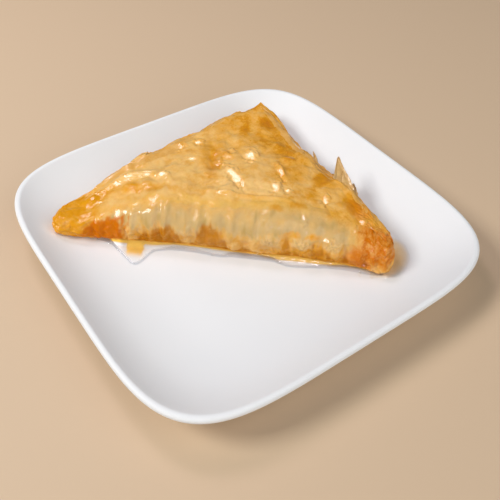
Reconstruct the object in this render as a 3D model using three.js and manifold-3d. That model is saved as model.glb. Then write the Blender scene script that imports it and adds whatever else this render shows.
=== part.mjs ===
// A triangle of baklava on its square plate, in millimetres, +Z up.
// The origin is the middle of the plate's foot. The plate's sides run along X and Y.
// The pastry is a square of stacked filo folded over its diagonal: one long rounded fold faces the empty
// half of the plate, and the two legs are open, so that the leaves show there as ragged steps.
import * as THREE from 'three';
import { mergeVertices } from 'three/addons/utils/BufferGeometryUtils.js';
import Module from 'manifold-3d';

// Plate
const PLATE_WIDTH = 180; // over the rim, the driving size
const CORNER_POWER = 5; // exponent of the superellipse that the outline follows
const FLOOR_Z = 5; // the flat middle that food lies on
const WALL_RISE = 13; // from the floor to the inside of the lip
const WALL_START = 0.46; // where the floor starts to turn up, as a share of the half width
const WALL_POWER = 2.6; // how late the wall turns up
const WALL_THICKNESS = 3.2;
const WALL_SHIFT = 0.012; // the outside of the wall stands this share further out
const LIP_RADIUS = 1.6;
const FOOT_OUTER = 0.6; // foot ring, as shares of the half width
const FOOT_INNER = 0.54;
const FOOT_SLOPE = 0.008; // how far the ring's sides lean
const FOOT_DEPTH = 1.6; // how far the underside stands off the table
const HUB = 0.2; // the flat middles start this far out, as one fan of triangles
const PLATE_STEPS = 80; // points round one ring of the plate
const CORNER_CROWDING = 0.12; // draws the ring's points towards the corners

// Pastry
const FOLD_MIDDLE = new THREE.Vector2(3.1, -17.0); // on the plate, half way along the fold
const FOLD_ANGLE = THREE.MathUtils.degToRad(47.5); // direction of the fold from +X
const LEFT_END = -77; // ends of the fold, measured along it
const RIGHT_END = 82.5;
const APEX_ALONG = 9.3; // the corner opposite the fold
const APEX_BACK = 100;
const LEFT_END_BACK = 10; // how wide each blunt end is, measured back from the fold
const RIGHT_END_BACK = 12;
const END_SWEEP = 4.5; // how far the ends of the fold come forward of its middle
// Where the leaves of a leg stand out past its straight line: place along the fold, how far, how long.
const LEG_BULGES = [[-54, 8, 15], [-29, 6.5, 10], [-9, 8, 11], [20, 5.5, 11], [62, 4.5, 13]];
const MIDDLE_THICKNESS = 21.5; // at the crest behind the fold
const LEG_THICKNESS = 17; // along the open legs
const APEX_THICKNESS = 15;
const LEFT_END_THICKNESS = 8.5;
const RIGHT_END_THICKNESS = 13.5;
const NOSE_DEPTH = 12.5; // from the front of the fold back to the crest
const NOSE_POWER = 2.3;
const NOSE_WAIST = 0.34; // height at which the fold stands out most, as a share of the crest
const NOSE_OVERHANG = 1.4; // how far the fold bulges over its foot
const NOSE_TUCK = 1.6; // how far its foot draws back, in overhangs
const NOSE_TURN = [-62, 84]; // degrees of the round that the fold covers, from foot to crest
const WRINKLE_HEIGHT = 0.7; // the upright wrinkles down the fold
const LEAF_PACKS = 5; // steps that the cut face of a leg shows
const LEAF_GROOVE = 1.4; // depth between two packs
const LEAF_SHARE = 0.7; // of a pack's height that its edge takes, the rest being groove
const LEAF_STEP = 0.4; // how much further each pack reaches than the one above it
const LEAF_RAGGEDNESS = 1; // how unevenly a pack ends
const TERRACES = 2; // top leaves that end short of the leg
const TERRACE_WIDTH = 2.6;
const TERRACE_DROP = 0.9;
const FULL_REACH = 40; // where the pastry is narrower than this, grooves and terraces shrink with it
const BLISTERS = 30; // raised bubbles of the top leaf

// Loose leaves that stick out of the legs: root and tip as [along, back, up from the plate], and width.
const LOOSE_LEAVES = [
  { root: [57, 37, 12.5], tip: [54.2, 55.5, 18.5], width: 9 },
  { root: [60, 35, 12], tip: [57, 49, 17], width: 8 },
  { root: [61, 33, 11.5], tip: [62.8, 46, 10], width: 10 },
  { root: [44, 54, 12], tip: [40.8, 66.5, 15.5], width: 5 },
  { root: [-43, 42, 11.5], tip: [-43.2, 51.5, 15.5], width: 4 },
];
const LEAF_THICKNESS = 0.9;
const LEAF_CURL = 1.2; // how far a loose leaf bows up half way

const RESTING_GAP = 0.3; // between the pastry and the plate

// Meshing
const SECTIONS = 88; // cuts across the pastry, from end to end
const NOSE_POINTS = 12;
const TOP_POINTS = 14;
const BOTTOM_POINTS = 7;
const END_ROUNDING = 4.5; // length over which an end closes
const END_WIDTH = 0.45; // what an end narrows and lowers to, as shares
const END_HEIGHT = 0.6;
const LEAF_RINGS = 7;

const TAU = 2 * Math.PI;
const clamp = THREE.MathUtils.clamp;
const smooth = (x, from, to) => THREE.MathUtils.smoothstep(x, from, to);

// Small helpers

// Park-Miller draws between 0 and 1, the same on every run.
function draws(seed) {
  let state = seed;
  return () => {
    state = (state * 48271) % 2147483647;
    return state / 2147483647;
  };
}

// A smooth uneven field between about -1 and 1: waves in random directions.
function unevenness(seed, count, shortest, longest) {
  const next = draws(seed);
  const waves = Array.from({ length: count }, () => {
    const length = shortest * (longest / shortest) ** next();
    const angle = TAU * next();
    const rate = TAU / length;
    return { a: rate * Math.cos(angle), b: rate * Math.sin(angle), phase: TAU * next() };
  });
  const scale = Math.sqrt(2 / count) / 1.5;
  return (a, b) => waves.reduce((sum, w) => sum + Math.sin(w.a * a + w.b * b + w.phase), 0) * scale;
}

// A closed mesh from rings of equal length: each joins the next, and both ends close on their middle.
function skin(rings) {
  const count = rings[0].length;
  const vertices = [];
  const faces = [];
  for (const ring of rings) for (const p of ring) vertices.push(p.x, p.y, p.z);
  for (let i = 0; i + 1 < rings.length; i += 1) {
    for (let j = 0; j < count; j += 1) {
      const a = i * count + j;
      const b = i * count + ((j + 1) % count);
      faces.push(a, b + count, b, a, a + count, b + count);
    }
  }
  for (const [index, order] of [[0, 1], [rings.length - 1, -1]]) {
    const middle = new THREE.Vector3();
    for (const p of rings[index]) middle.addScaledVector(p, 1 / count);
    vertices.push(middle.x, middle.y, middle.z);
    const hub = vertices.length / 3 - 1;
    for (let j = 0; j < count; j += 1) {
      const a = index * count + j;
      const b = index * count + ((j + 1) % count);
      if (order > 0) faces.push(hub, a, b);
      else faces.push(hub, b, a);
    }
  }
  return new THREE.BufferGeometry()
    .setAttribute('position', new THREE.Float32BufferAttribute(vertices, 3))
    .setIndex(faces);
}

// Plate

const HALF = PLATE_WIDTH / 2;

// The share of the plate's outline on which a point lies: 0 in the middle, 1 on the rim.
function shareOfPlate(x, y) {
  return (Math.abs(x / HALF) ** CORNER_POWER + Math.abs(y / HALF) ** CORNER_POWER) ** (1 / CORNER_POWER);
}

function riseAt(share) {
  return WALL_RISE * clamp((share - WALL_START) / (1 - WALL_START), 0, 1) ** WALL_POWER;
}

function plateTopZ(x, y) {
  return FLOOR_Z + riseAt(shareOfPlate(x, y));
}

function plateRing(share, z) {
  return Array.from({ length: PLATE_STEPS }, (_, k) => {
    const turn = (TAU * k) / PLATE_STEPS;
    const angle = turn + CORNER_CROWDING * Math.sin(4 * turn);
    const reach = (share * HALF) / shareOfPlate(HALF * Math.cos(angle), HALF * Math.sin(angle));
    return new THREE.Vector3(reach * Math.cos(angle), reach * Math.sin(angle), z);
  });
}

// Shares of the half width and heights, from the middle of the floor over the lip and back underneath.
function plateProfile() {
  const lipShare = 1 - LIP_RADIUS / HALF;
  const lipZ = FLOOR_Z + WALL_RISE - LIP_RADIUS * 0.4;
  const profile = [[HUB, FLOOR_Z]];
  for (const t of [0, 0.22, 0.4, 0.55, 0.68, 0.8, 0.9]) {
    const share = WALL_START + t * (1 - WALL_START);
    profile.push([share, FLOOR_Z + riseAt(share)]);
  }
  for (const degrees of [125, 95, 60, 25, -10, -45]) {
    const angle = THREE.MathUtils.degToRad(degrees);
    const out = (LIP_RADIUS * Math.cos(angle)) / HALF;
    profile.push([lipShare + out, lipZ + LIP_RADIUS * Math.sin(angle)]);
  }
  for (const t of [0.86, 0.7, 0.52, 0.36]) {
    const share = WALL_START + t * (1 - WALL_START);
    profile.push([share + WALL_SHIFT, FLOOR_Z + riseAt(share) - WALL_THICKNESS]);
  }
  profile.push([FOOT_OUTER + FOOT_SLOPE, FOOT_DEPTH], [FOOT_OUTER, 0]);
  profile.push([FOOT_INNER, 0], [FOOT_INNER - FOOT_SLOPE, FOOT_DEPTH]);
  profile.push([HUB, FOOT_DEPTH]);
  return profile;
}

function plateGeometry() {
  return skin(plateProfile().map(([share, z]) => plateRing(share, z)));
}

// Pastry

const ALONG = new THREE.Vector2(Math.cos(FOLD_ANGLE), Math.sin(FOLD_ANGLE));
const BACK = new THREE.Vector2(-ALONG.y, ALONG.x);

// From the pastry's own frame (along the fold, back from it) to the plate's.
function onPlate(along, back) {
  return FOLD_MIDDLE.clone().addScaledVector(ALONG, along).addScaledVector(BACK, back);
}

const undulation = unevenness(11, 9, 24, 60);
const crumple = unevenness(5, 12, 7, 18);
const wrinkle = unevenness(29, 10, 5, 12);
const ragged = unevenness(71, 12, 7, 26);

// Share of the way from the middle of the fold to the nearer end.
function outwards(along) {
  return along < 0 ? along / LEFT_END : along / RIGHT_END;
}

function foldFront(along) {
  return -END_SWEEP * smooth(outwards(along), 0.62, 0.98) + 0.5 * undulation(along, 0);
}

function legBack(along) {
  const left = along < APEX_ALONG;
  const end = left ? LEFT_END : RIGHT_END;
  const endBack = (left ? LEFT_END_BACK : RIGHT_END_BACK) - END_SWEEP;
  const share = clamp((along - APEX_ALONG) / (end - APEX_ALONG), 0, 1);
  let back = THREE.MathUtils.lerp(APEX_BACK, endBack, share);
  for (const [middle, out, spread] of LEG_BULGES) {
    back += out * Math.exp(-(((along - middle) / spread) ** 2));
  }
  return back;
}

const blisters = (() => {
  const next = draws(97);
  return Array.from({ length: BLISTERS }, () => {
    const along = THREE.MathUtils.lerp(LEFT_END, RIGHT_END, 0.06 + 0.88 * next());
    return {
      along,
      back: THREE.MathUtils.lerp(foldFront(along), legBack(along), 0.1 + 0.82 * next()),
      radius: 5 + 5 * next() ** 2,
      height: 0.5 + 0.9 * next(),
    };
  });
})();

function blisterHeight(along, back) {
  let height = 0;
  for (const b of blisters) {
    const away = ((along - b.along) ** 2 + (back - b.back) ** 2) / b.radius ** 2;
    if (away < 1) height = Math.max(height, b.height * (1 - away) ** 2);
  }
  return height;
}

// Thickness of the stack at a place, before the fold rounds it off.
function thicknessAt(along, back) {
  const out = outwards(along);
  const endThickness = along < 0 ? LEFT_END_THICKNESS : RIGHT_END_THICKNESS;
  const crest = THREE.MathUtils.lerp(MIDDLE_THICKNESS, endThickness, smooth(out, 0.2, 1.1));
  const depth = clamp((back - foldFront(along)) / (legBack(along) - foldFront(along)), 0, 1);
  const towardsApex = smooth(back, 20, APEX_BACK);
  const leg = THREE.MathUtils.lerp(Math.min(LEG_THICKNESS, crest), APEX_THICKNESS, towardsApex);
  const fall = smooth(depth, 0.15, 1.05);
  return THREE.MathUtils.lerp(crest, leg, fall) + 0.7 * undulation(along, back) * (1 - out ** 4);
}

// One closed cut across the pastry: up the rounded fold, over the top, down the ragged leg and back
// underneath. Points are { back, up }, where up counts from the underside.
function cut(along) {
  const front = foldFront(along);
  const behind = legBack(along);
  const reach = behind - front;
  const nose = Math.min(NOSE_DEPTH, reach * 0.45);
  const room = Math.min(1, reach / FULL_REACH);
  const points = [];
  const crestThickness = thicknessAt(along, front + nose);
  const middle = NOSE_WAIST * crestThickness;
  const round = (value) => Math.sign(value) * Math.abs(value) ** (2 / NOSE_POWER);
  for (let k = 0; k < NOSE_POINTS; k += 1) {
    const turn = THREE.MathUtils.degToRad(THREE.MathUtils.lerp(...NOSE_TURN, k / (NOSE_POINTS - 1)));
    const out = round(Math.cos(turn));
    const inset = (1 - out) * (turn < 0 ? NOSE_TUCK * NOSE_OVERHANG : nose);
    const up = middle + (turn < 0 ? middle : crestThickness - middle) * round(Math.sin(turn));
    const fade = Math.cos(turn * 0.8) * smooth(up, 0, 6);
    const lump = (wrinkle(along, up * 0.25) + 0.7 * crumple(along, up)) * fade;
    points.push({ back: front - NOSE_OVERHANG * out + inset - WRINKLE_HEIGHT * lump, up });
  }
  const firstTerrace = behind - TERRACES * TERRACE_WIDTH * room;
  for (let k = 1; k <= TOP_POINTS; k += 1) {
    const back = THREE.MathUtils.lerp(front + nose, firstTerrace, (k - 0.4) / TOP_POINTS);
    points.push({ back, up: thicknessAt(along, back) + blisterHeight(along, back) });
  }
  for (let k = 0; k < TERRACES; k += 1) {
    const uneven = LEAF_RAGGEDNESS * ragged(along, 53 * (k + 1));
    const back = firstTerrace + (k * TERRACE_WIDTH + 0.5 * uneven) * room;
    const up = thicknessAt(along, back) - k * TERRACE_DROP * room;
    points.push({ back, up });
    points.push({ back: back + 0.4 * room, up: up - TERRACE_DROP * room });
  }
  const edge = thicknessAt(along, behind) - TERRACES * TERRACE_DROP * room;
  for (let k = 0; k < LEAF_PACKS; k += 1) {
    const uneven = LEAF_RAGGEDNESS * ragged(along, 37 * k) + LEAF_STEP * k;
    const low = edge * (1 - (k + LEAF_SHARE) / LEAF_PACKS);
    const groove = low - ((1 - LEAF_SHARE) / 2) * (edge / LEAF_PACKS);
    points.push({ back: behind + uneven * room, up: edge * (1 - k / LEAF_PACKS) });
    points.push({ back: behind + (uneven - 0.2) * room, up: low });
    if (k < LEAF_PACKS - 1) {
      points.push({ back: behind + (uneven - LEAF_GROOVE) * room, up: groove });
    }
  }
  for (let k = 0; k < BOTTOM_POINTS; k += 1) {
    const share = (k + 0.4) / (BOTTOM_POINTS - 0.2);
    points.push({ back: THREE.MathUtils.lerp(behind - LEAF_GROOVE, front + 1.4, share), up: 0 });
  }
  return points;
}

// From the pastry's frame to the plate's, with the height counted from what the pastry rests on.
function aboveRest(along, back, up) {
  const place = onPlate(along, back);
  return new THREE.Vector3(place.x, place.y, plateTopZ(place.x, place.y) + RESTING_GAP + up);
}

function pastryRing(along) {
  const ends = Math.min(along - LEFT_END, RIGHT_END - along);
  const closing = Math.sqrt(1 - (1 - clamp(ends / END_ROUNDING, 0, 1)) ** 2);
  const points = cut(along);
  const middle = points.reduce((sum, p) => sum + p.back, 0) / points.length;
  const width = THREE.MathUtils.lerp(END_WIDTH, 1, closing);
  const height = THREE.MathUtils.lerp(END_HEIGHT, 1, closing);
  return points.map(({ back, up }) => {
    return aboveRest(along, THREE.MathUtils.lerp(middle, back, width), up * height);
  });
}

function pastryStations() {
  const left = Math.round((SECTIONS * (APEX_ALONG - LEFT_END)) / (RIGHT_END - LEFT_END));
  const right = SECTIONS - left;
  const evenly = (from, to, count, last) =>
    Array.from({ length: count }, (_, k) => THREE.MathUtils.lerp(from, to, k / (count - last)));
  return [...evenly(LEFT_END, APEX_ALONG, left, 0), ...evenly(APEX_ALONG, RIGHT_END, right, 1)];
}

// One loose leaf: a thin bowed blade, as wide as given at its root and narrowing to its tip.
function leafGeometry({ root, tip, width }) {
  const from = aboveRest(...root);
  const to = aboveRest(...tip);
  const axis = to.clone().sub(from).normalize();
  const side = new THREE.Vector3(axis.y, -axis.x, 0).normalize();
  const normal = side.clone().cross(axis);
  const rings = Array.from({ length: LEAF_RINGS }, (_, k) => {
    const share = k / (LEAF_RINGS - 1);
    const middle = from.clone().lerp(to, share);
    middle.addScaledVector(normal, LEAF_CURL * Math.sin(Math.PI * share));
    const half = (width / 2) * (1 - 0.88 * share ** 1.5);
    const crease = 0.5 + 0.5 * Math.sin(2.5 * Math.PI * share + width);
    const sides = [[1, 1], [0.3, 1 + crease], [-1, 1], [-1, -1], [0.3, crease - 1], [1, -1]];
    return sides.map(([across, high]) => {
      const corner = middle.clone().addScaledVector(side, across * half);
      return corner.addScaledVector(normal, (high * LEAF_THICKNESS) / 2);
    });
  });
  return skin(rings);
}

// Joining

const wasm = await Module();
wasm.setup();

function toSolid(geometry) {
  const bare = geometry.clone();
  bare.deleteAttribute('normal');
  bare.deleteAttribute('uv');
  const merged = mergeVertices(bare);
  return new wasm.Manifold(
    new wasm.Mesh({
      numProp: 3,
      vertProperties: Float32Array.from(merged.getAttribute('position').array),
      triVerts: Uint32Array.from(merged.getIndex().array),
    }),
  );
}

function fused(body, additions) {
  const mesh = additions.reduce((sum, extra) => sum.add(toSolid(extra)), toSolid(body)).getMesh();
  return new THREE.BufferGeometry()
    .setAttribute('position', new THREE.Float32BufferAttribute(mesh.vertProperties, 3))
    .setIndex(Array.from(mesh.triVerts));
}

function pastryGeometry() {
  return fused(skin(pastryStations().map(pastryRing)), LOOSE_LEAVES.map(leafGeometry));
}

// The part

const group = new THREE.Group();
const porcelain = new THREE.MeshStandardMaterial({ color: 0xf2f2f0, roughness: 0.12, metalness: 0 });
const crust = new THREE.MeshStandardMaterial({ color: 0xd9993c, roughness: 0.25, metalness: 0 });

function addPiece(name, geometry, material) {
  const piece = new THREE.Mesh(geometry, material);
  piece.name = name;
  group.add(piece);
  return piece;
}

addPiece('plate', plateGeometry(), porcelain);
addPiece('baklava', pastryGeometry(), crust);

export default group;
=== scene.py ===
"""A plate of baklava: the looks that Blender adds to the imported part.

One triangle of folded filo, wet with syrup, on its square porcelain plate. Sizes in the functions are in
millimetres, as in the part's own source, and become metres where a mesh is written. The pastry has its own
frame: along the fold (a), back from it (b), and up from what it rests on. The distance up its skin from the
foot of the fold is s.
"""

import math

import bpy
import numpy as np
from bpy.props import FloatProperty, FloatVectorProperty, PointerProperty
from mathutils import Matrix, Vector
from mathutils.bvhtree import BVHTree


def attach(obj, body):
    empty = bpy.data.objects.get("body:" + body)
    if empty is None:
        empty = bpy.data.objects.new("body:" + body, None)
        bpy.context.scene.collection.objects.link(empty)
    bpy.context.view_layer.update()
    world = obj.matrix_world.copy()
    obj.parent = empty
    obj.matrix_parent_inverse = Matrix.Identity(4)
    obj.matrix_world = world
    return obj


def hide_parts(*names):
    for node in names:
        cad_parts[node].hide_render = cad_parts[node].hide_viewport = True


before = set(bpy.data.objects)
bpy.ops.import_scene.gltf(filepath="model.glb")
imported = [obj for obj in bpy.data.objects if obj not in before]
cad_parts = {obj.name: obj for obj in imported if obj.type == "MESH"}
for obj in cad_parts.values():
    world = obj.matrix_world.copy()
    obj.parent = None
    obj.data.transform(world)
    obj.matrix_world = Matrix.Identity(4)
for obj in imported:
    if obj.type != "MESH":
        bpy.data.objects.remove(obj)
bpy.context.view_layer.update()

bl_info = {
    "name": "Plate of baklava",
    "version": (1, 0, 0),
    "blender": (4, 5, 0),
    "location": "View3D > Sidebar > Baklava",
    "description": "Builds a syrup-soaked baklava triangle on its plate, round the packed part",
    "category": "Object",
}

MM = 0.001
TAU = 2 * math.pi

# The plate, as in the part's source
HALF = 90.0
CORNER_POWER = 5.0
FLOOR_Z = 5.0
WALL_RISE, WALL_START, WALL_POWER = 13.0, 0.46, 2.6
WALL_THICKNESS, WALL_SHIFT = 3.2, 0.012
LIP_RADIUS = 1.6
FOOT_OUTER, FOOT_INNER, FOOT_SLOPE, FOOT_DEPTH = 0.6, 0.54, 0.008, 1.6
HUB = 0.2

# The pastry, as in the part's source
FOLD_MIDDLE = np.array([3.1, -17.0])
FOLD_ANGLE = math.radians(47.5)
ALONG = np.array([math.cos(FOLD_ANGLE), math.sin(FOLD_ANGLE)])
BACK = np.array([-ALONG[1], ALONG[0]])
LEFT_END, RIGHT_END = -77.0, 82.5
APEX_ALONG, APEX_BACK = 9.3, 100.0
LEFT_END_BACK, RIGHT_END_BACK = 10.0, 12.0
END_SWEEP = 4.5
LEG_BULGES = ((-54, 8, 15), (-29, 6.5, 10), (-9, 8, 11), (20, 5.5, 11), (62, 4.5, 13))
MIDDLE_THICKNESS, LEG_THICKNESS, APEX_THICKNESS = 21.5, 17.0, 15.0
LEFT_END_THICKNESS, RIGHT_END_THICKNESS = 8.5, 13.5
NOSE_DEPTH, NOSE_POWER, NOSE_WAIST = 12.5, 2.3, 0.34
NOSE_OVERHANG, NOSE_TUCK = 1.4, 1.6
NOSE_TURN = (-62.0, 84.0)
WRINKLE_HEIGHT = 0.7
LEAF_PACKS, LEAF_GROOVE, LEAF_SHARE, LEAF_STEP, LEAF_RAGGEDNESS = 5, 1.4, 0.7, 0.4, 1.0
TERRACES, TERRACE_WIDTH, TERRACE_DROP = 2, 2.6, 0.9
FULL_REACH = 40.0
BLISTERS = 30
RESTING_GAP = 0.3
END_ROUNDING, END_WIDTH, END_HEIGHT = 4.5, 0.45, 0.6
LOOSE_LEAVES = (
    ((57, 37, 12.5), (54.2, 55.5, 18.5), 9), ((60, 35, 12), (57, 49, 17), 8), ((61, 33, 11.5), (62.8, 46, 10), 10),
    ((44, 54, 12), (40.8, 66.5, 15.5), 5), ((-43, 42, 11.5), (-43.2, 51.5, 15.5), 4),
)

# The photograph's camera, in millimetres
CAMERA_AT = (184.379, -129.720, 226.153)
CAMERA_RIGHT = (0.57620223, 0.8170781, 0.01934886)
CAMERA_UP = (-0.59432251, 0.40262933, 0.69618272)
CAMERA_BACK = (0.56104523, -0.4126415, 0.71760382)
CAMERA_LENS, SENSOR_WIDTH, CLIP_START = 46.48, 36.0, 0.01


# Numbers and fields

def smooth(x, low, high):
    """0 below low, 1 above high, and a soft step between them."""
    t = np.clip((x - low) / (high - low), 0, 1)
    return t * t * (3 - 2 * t)


def between(x, low, full, still_full, high):
    """1 from full to still_full, and 0 outside low and high."""
    return smooth(x, low, full) * (1 - smooth(x, still_full, high))


def lerp(a, b, t):
    return a + (b - a) * t


def bell(x, middle, width):
    return np.exp(-(((x - middle) / width) ** 2))


def draws(seed):
    """Park-Miller draws between 0 and 1, the part's own."""
    state = seed
    while True:
        state = (state * 48271) % 2147483647
        yield state / 2147483647


def unevenness(seed, count, shortest, longest):
    """A smooth uneven field between about -1 and 1, the part's own."""
    step = draws(seed)
    waves = []
    for _ in range(count):
        length = shortest * (longest / shortest) ** next(step)
        angle = TAU * next(step)
        waves.append((TAU / length * math.cos(angle), TAU / length * math.sin(angle), TAU * next(step)))
    scale = math.sqrt(2 / count) / 1.5
    return lambda a, b: sum(np.sin(wa * a + wb * b + phase) for wa, wb, phase in waves) * scale


def lattice(ix, iy, seed):
    """A draw between 0 and 1 for each whole-numbered place; the products wrap round on purpose."""
    h = (np.asarray(ix, np.int64) * 374761393 + np.asarray(iy, np.int64) * 668265263 + seed * 362437) & 0xFFFFFFFF
    with np.errstate(over="ignore"):
        for shift, factor in ((13, 1274126177), (15, 2246822519)):
            h = ((h ^ (h >> shift)) * factor) & 0xFFFFFFFF
    return ((h ^ (h >> 16)) & 0xFFFFFF) / 16777215.0


def noise(x, y, seed):
    """Gradient noise, about -1 to 1."""
    x, y = np.broadcast_arrays(np.asarray(x, float), np.asarray(y, float))
    ix, iy = np.floor(x), np.floor(y)
    fx, fy = x - ix, y - iy
    ux, uy = (f ** 3 * (f * (f * 6 - 15) + 10) for f in (fx, fy))

    def corner(dx, dy):
        angle = TAU * lattice(ix + dx, iy + dy, seed)
        return np.cos(angle) * (fx - dx) + np.sin(angle) * (fy - dy)

    low = lerp(corner(0, 0), corner(1, 0), ux)
    high = lerp(corner(0, 1), corner(1, 1), ux)
    return lerp(low, high, uy) * 1.5


def layered(x, y, seed, octaves=3):
    """Noise with finer and weaker noise over it."""
    total, weight, size = 0.0, 1.0, 0.0
    for k in range(octaves):
        total = total + weight * noise(x, y, seed + 17 * k)
        size += weight
        x, y = 1.6 * x - 1.2 * y + 3.1, 1.2 * x + 1.6 * y - 1.7
        weight *= 0.5
    return total / size


def cell_gap(x, y, seed):
    """How much nearer the nearest of scattered points is than the next one: 0 on the lines between cells."""
    x, y = np.broadcast_arrays(np.asarray(x, float), np.asarray(y, float))
    ix, iy = np.floor(x), np.floor(y)
    near, second = np.full(x.shape, 9.0), np.full(x.shape, 9.0)
    for dx in (-1, 0, 1):
        for dy in (-1, 0, 1):
            px = ix + dx + lattice(ix + dx, iy + dy, seed)
            py = iy + dy + lattice(ix + dx, iy + dy, seed + 5)
            away = np.hypot(px - x, py - y)
            second = np.minimum(second, np.maximum(near, away))
            near = np.minimum(near, away)
    return second - near


def to_line(a, b, points):
    """Distance from places to a line through points, and the share of the way along it."""
    best, share = np.full(np.shape(a), 1e9), np.zeros(np.shape(a))
    count = len(points) - 1
    for k in range(count):
        (a0, b0), (a1, b1) = points[k], points[k + 1]
        da, db = a1 - a0, b1 - b0
        t = np.clip(((a - a0) * da + (b - b0) * db) / (da * da + db * db), 0, 1)
        away = np.hypot(a - a0 - t * da, b - b0 - t * db)
        share = np.where(away < best, (k + t) / count, share)
        best = np.minimum(best, away)
    return best, share


def turned(da, db, degrees):
    """An offset as seen from axes that are turned by an angle."""
    c, s = math.cos(math.radians(degrees)), math.sin(math.radians(degrees))
    return da * c + db * s, db * c - da * s


def spot(a, b, place):
    """A soft-edged oval: place is (along, back, half length, half width, turn in degrees)."""
    middle_a, middle_b, length, width, turn = place
    da, db = turned(a - middle_a, b - middle_b, turn)
    return np.exp(-((da / length) ** 2 + (db / width) ** 2) ** 2)


# The plate's form

def share_of_plate(x, y):
    return (np.abs(x / HALF) ** CORNER_POWER + np.abs(y / HALF) ** CORNER_POWER) ** (1 / CORNER_POWER)


def rise_at(share):
    return WALL_RISE * np.clip((share - WALL_START) / (1 - WALL_START), 0, 1) ** WALL_POWER


def plate_top(x, y):
    return FLOOR_Z + rise_at(share_of_plate(x, y))


# The pastry's form, the part's own formulas on whole arrays

undulation = unevenness(11, 9, 24, 60)
crumple = unevenness(5, 12, 7, 18)
wrinkle = unevenness(29, 10, 5, 12)
ragged = unevenness(71, 12, 7, 26)


def outwards(along):
    return np.where(along < 0, along / LEFT_END, along / RIGHT_END)


def fold_front(along):
    return -END_SWEEP * smooth(outwards(along), 0.62, 0.98) + 0.5 * undulation(along, 0)


def leg_back(along):
    left = along < APEX_ALONG
    end = np.where(left, LEFT_END, RIGHT_END)
    end_back = np.where(left, LEFT_END_BACK, RIGHT_END_BACK) - END_SWEEP
    back = lerp(APEX_BACK, end_back, np.clip((along - APEX_ALONG) / (end - APEX_ALONG), 0, 1))
    for middle, out, spread in LEG_BULGES:
        back = back + out * bell(along, middle, spread)
    return back


def make_blisters():
    step = draws(97)
    found = []
    for _ in range(BLISTERS):
        along = lerp(LEFT_END, RIGHT_END, 0.06 + 0.88 * next(step))
        back = lerp(float(fold_front(along)), float(leg_back(along)), 0.1 + 0.82 * next(step))
        radius = 5 + 5 * next(step) ** 2
        found.append((along, back, radius, 0.5 + 0.9 * next(step)))
    return found


blisters = make_blisters()


def blister_height(along, back):
    height = np.zeros(np.broadcast(along, back).shape)
    for middle_a, middle_b, radius, high in blisters:
        away = ((along - middle_a) ** 2 + (back - middle_b) ** 2) / radius ** 2
        height = np.maximum(height, high * np.clip(1 - away, 0, 1) ** 2)
    return height


def thickness_at(along, back):
    out = outwards(along)
    end_thickness = np.where(along < 0, LEFT_END_THICKNESS, RIGHT_END_THICKNESS)
    crest = lerp(MIDDLE_THICKNESS, end_thickness, smooth(out, 0.2, 1.1))
    front = fold_front(along)
    depth = np.clip((back - front) / (leg_back(along) - front), 0, 1)
    leg = lerp(np.minimum(LEG_THICKNESS, crest), APEX_THICKNESS, smooth(back, 20, APEX_BACK))
    return lerp(crest, leg, smooth(depth, 0.15, 1.05)) + 0.7 * undulation(along, back) * (1 - out ** 4)


def in_plate_frame(along, back, up):
    """From the pastry's frame to the plate's, in millimetres."""
    x = FOLD_MIDDLE[0] + ALONG[0] * along + BACK[0] * back
    y = FOLD_MIDDLE[1] + ALONG[1] * along + BACK[1] * back
    return np.stack(np.broadcast_arrays(x, y, plate_top(x, y) + RESTING_GAP + up), -1)


# Meshes

# A grid is added at this size in metres, and its points are then put in their places
GRID_SIZE = 0.1
SEAM = 1e-8


def nothing_selected():
    if bpy.context.object and bpy.context.object.mode != "OBJECT":
        bpy.ops.object.mode_set(mode="OBJECT")
    bpy.ops.object.select_all(action="DESELECT")


def only(*pieces):
    """Selects these pieces alone and makes the first one active."""
    nothing_selected()
    for piece in pieces:
        piece.select_set(True)
    bpy.context.view_layer.objects.active = pieces[0]


def added(name):
    """The active object, such as a new primitive, under its own name."""
    obj = bpy.context.object
    obj.name = obj.data.name = name
    return obj


def place_points(obj, points):
    """Moves every point of a mesh; points are in millimetres, in the order of its vertices."""
    obj.data.vertices.foreach_set("co", (np.asarray(points, float).reshape(-1, 3) * MM).ravel())
    obj.data.update()


def points_of(obj):
    return np.array([v.co[:] for v in obj.data.vertices])


def turn_faces_out():
    """Turns the faces of the mesh in edit mode outwards, and leaves edit mode."""
    bpy.ops.mesh.select_all(action="SELECT")
    bpy.ops.mesh.normals_make_consistent(inside=False)
    bpy.ops.object.mode_set(mode="OBJECT")


def rings_to_tube(name, rings, values=None, where=None):
    """A closed tube through rings of points (mm), shaped from a grid whose long sides are merged and whose ends are
    capped. rings is an array of rings x points x 3, values are attributes and where is a UV place for each point."""
    count, points = rings.shape[:2]
    nothing_selected()
    bpy.ops.mesh.primitive_grid_add(x_subdivisions=points, y_subdivisions=count - 1, size=GRID_SIZE)
    obj = added(name)

    def closed(grid):
        return np.concatenate([grid, grid[:, :1]], 1)

    place_points(obj, closed(rings))
    for key, grid in (values or {}).items():
        write_attribute(obj, key, closed(grid))
    if where is not None:
        write_map(obj, closed(where))
    bpy.ops.object.mode_set(mode="EDIT")
    bpy.ops.mesh.select_all(action="SELECT")
    bpy.ops.mesh.remove_doubles(threshold=SEAM)
    bpy.ops.mesh.fill_holes(sides=0)
    bpy.ops.mesh.select_all(action="DESELECT")
    bpy.ops.mesh.select_face_by_sides(number=4, type="GREATER")
    bpy.ops.mesh.poke()
    turn_faces_out()
    return obj


def write_attribute(obj, name, values):
    """Lays one number on each point; values is one number for all of them or one for each."""
    layer = obj.data.attributes.new(name, "FLOAT", "POINT")
    layer.data.foreach_set("value", np.full(len(layer.data), np.ravel(values), np.float32))


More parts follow.
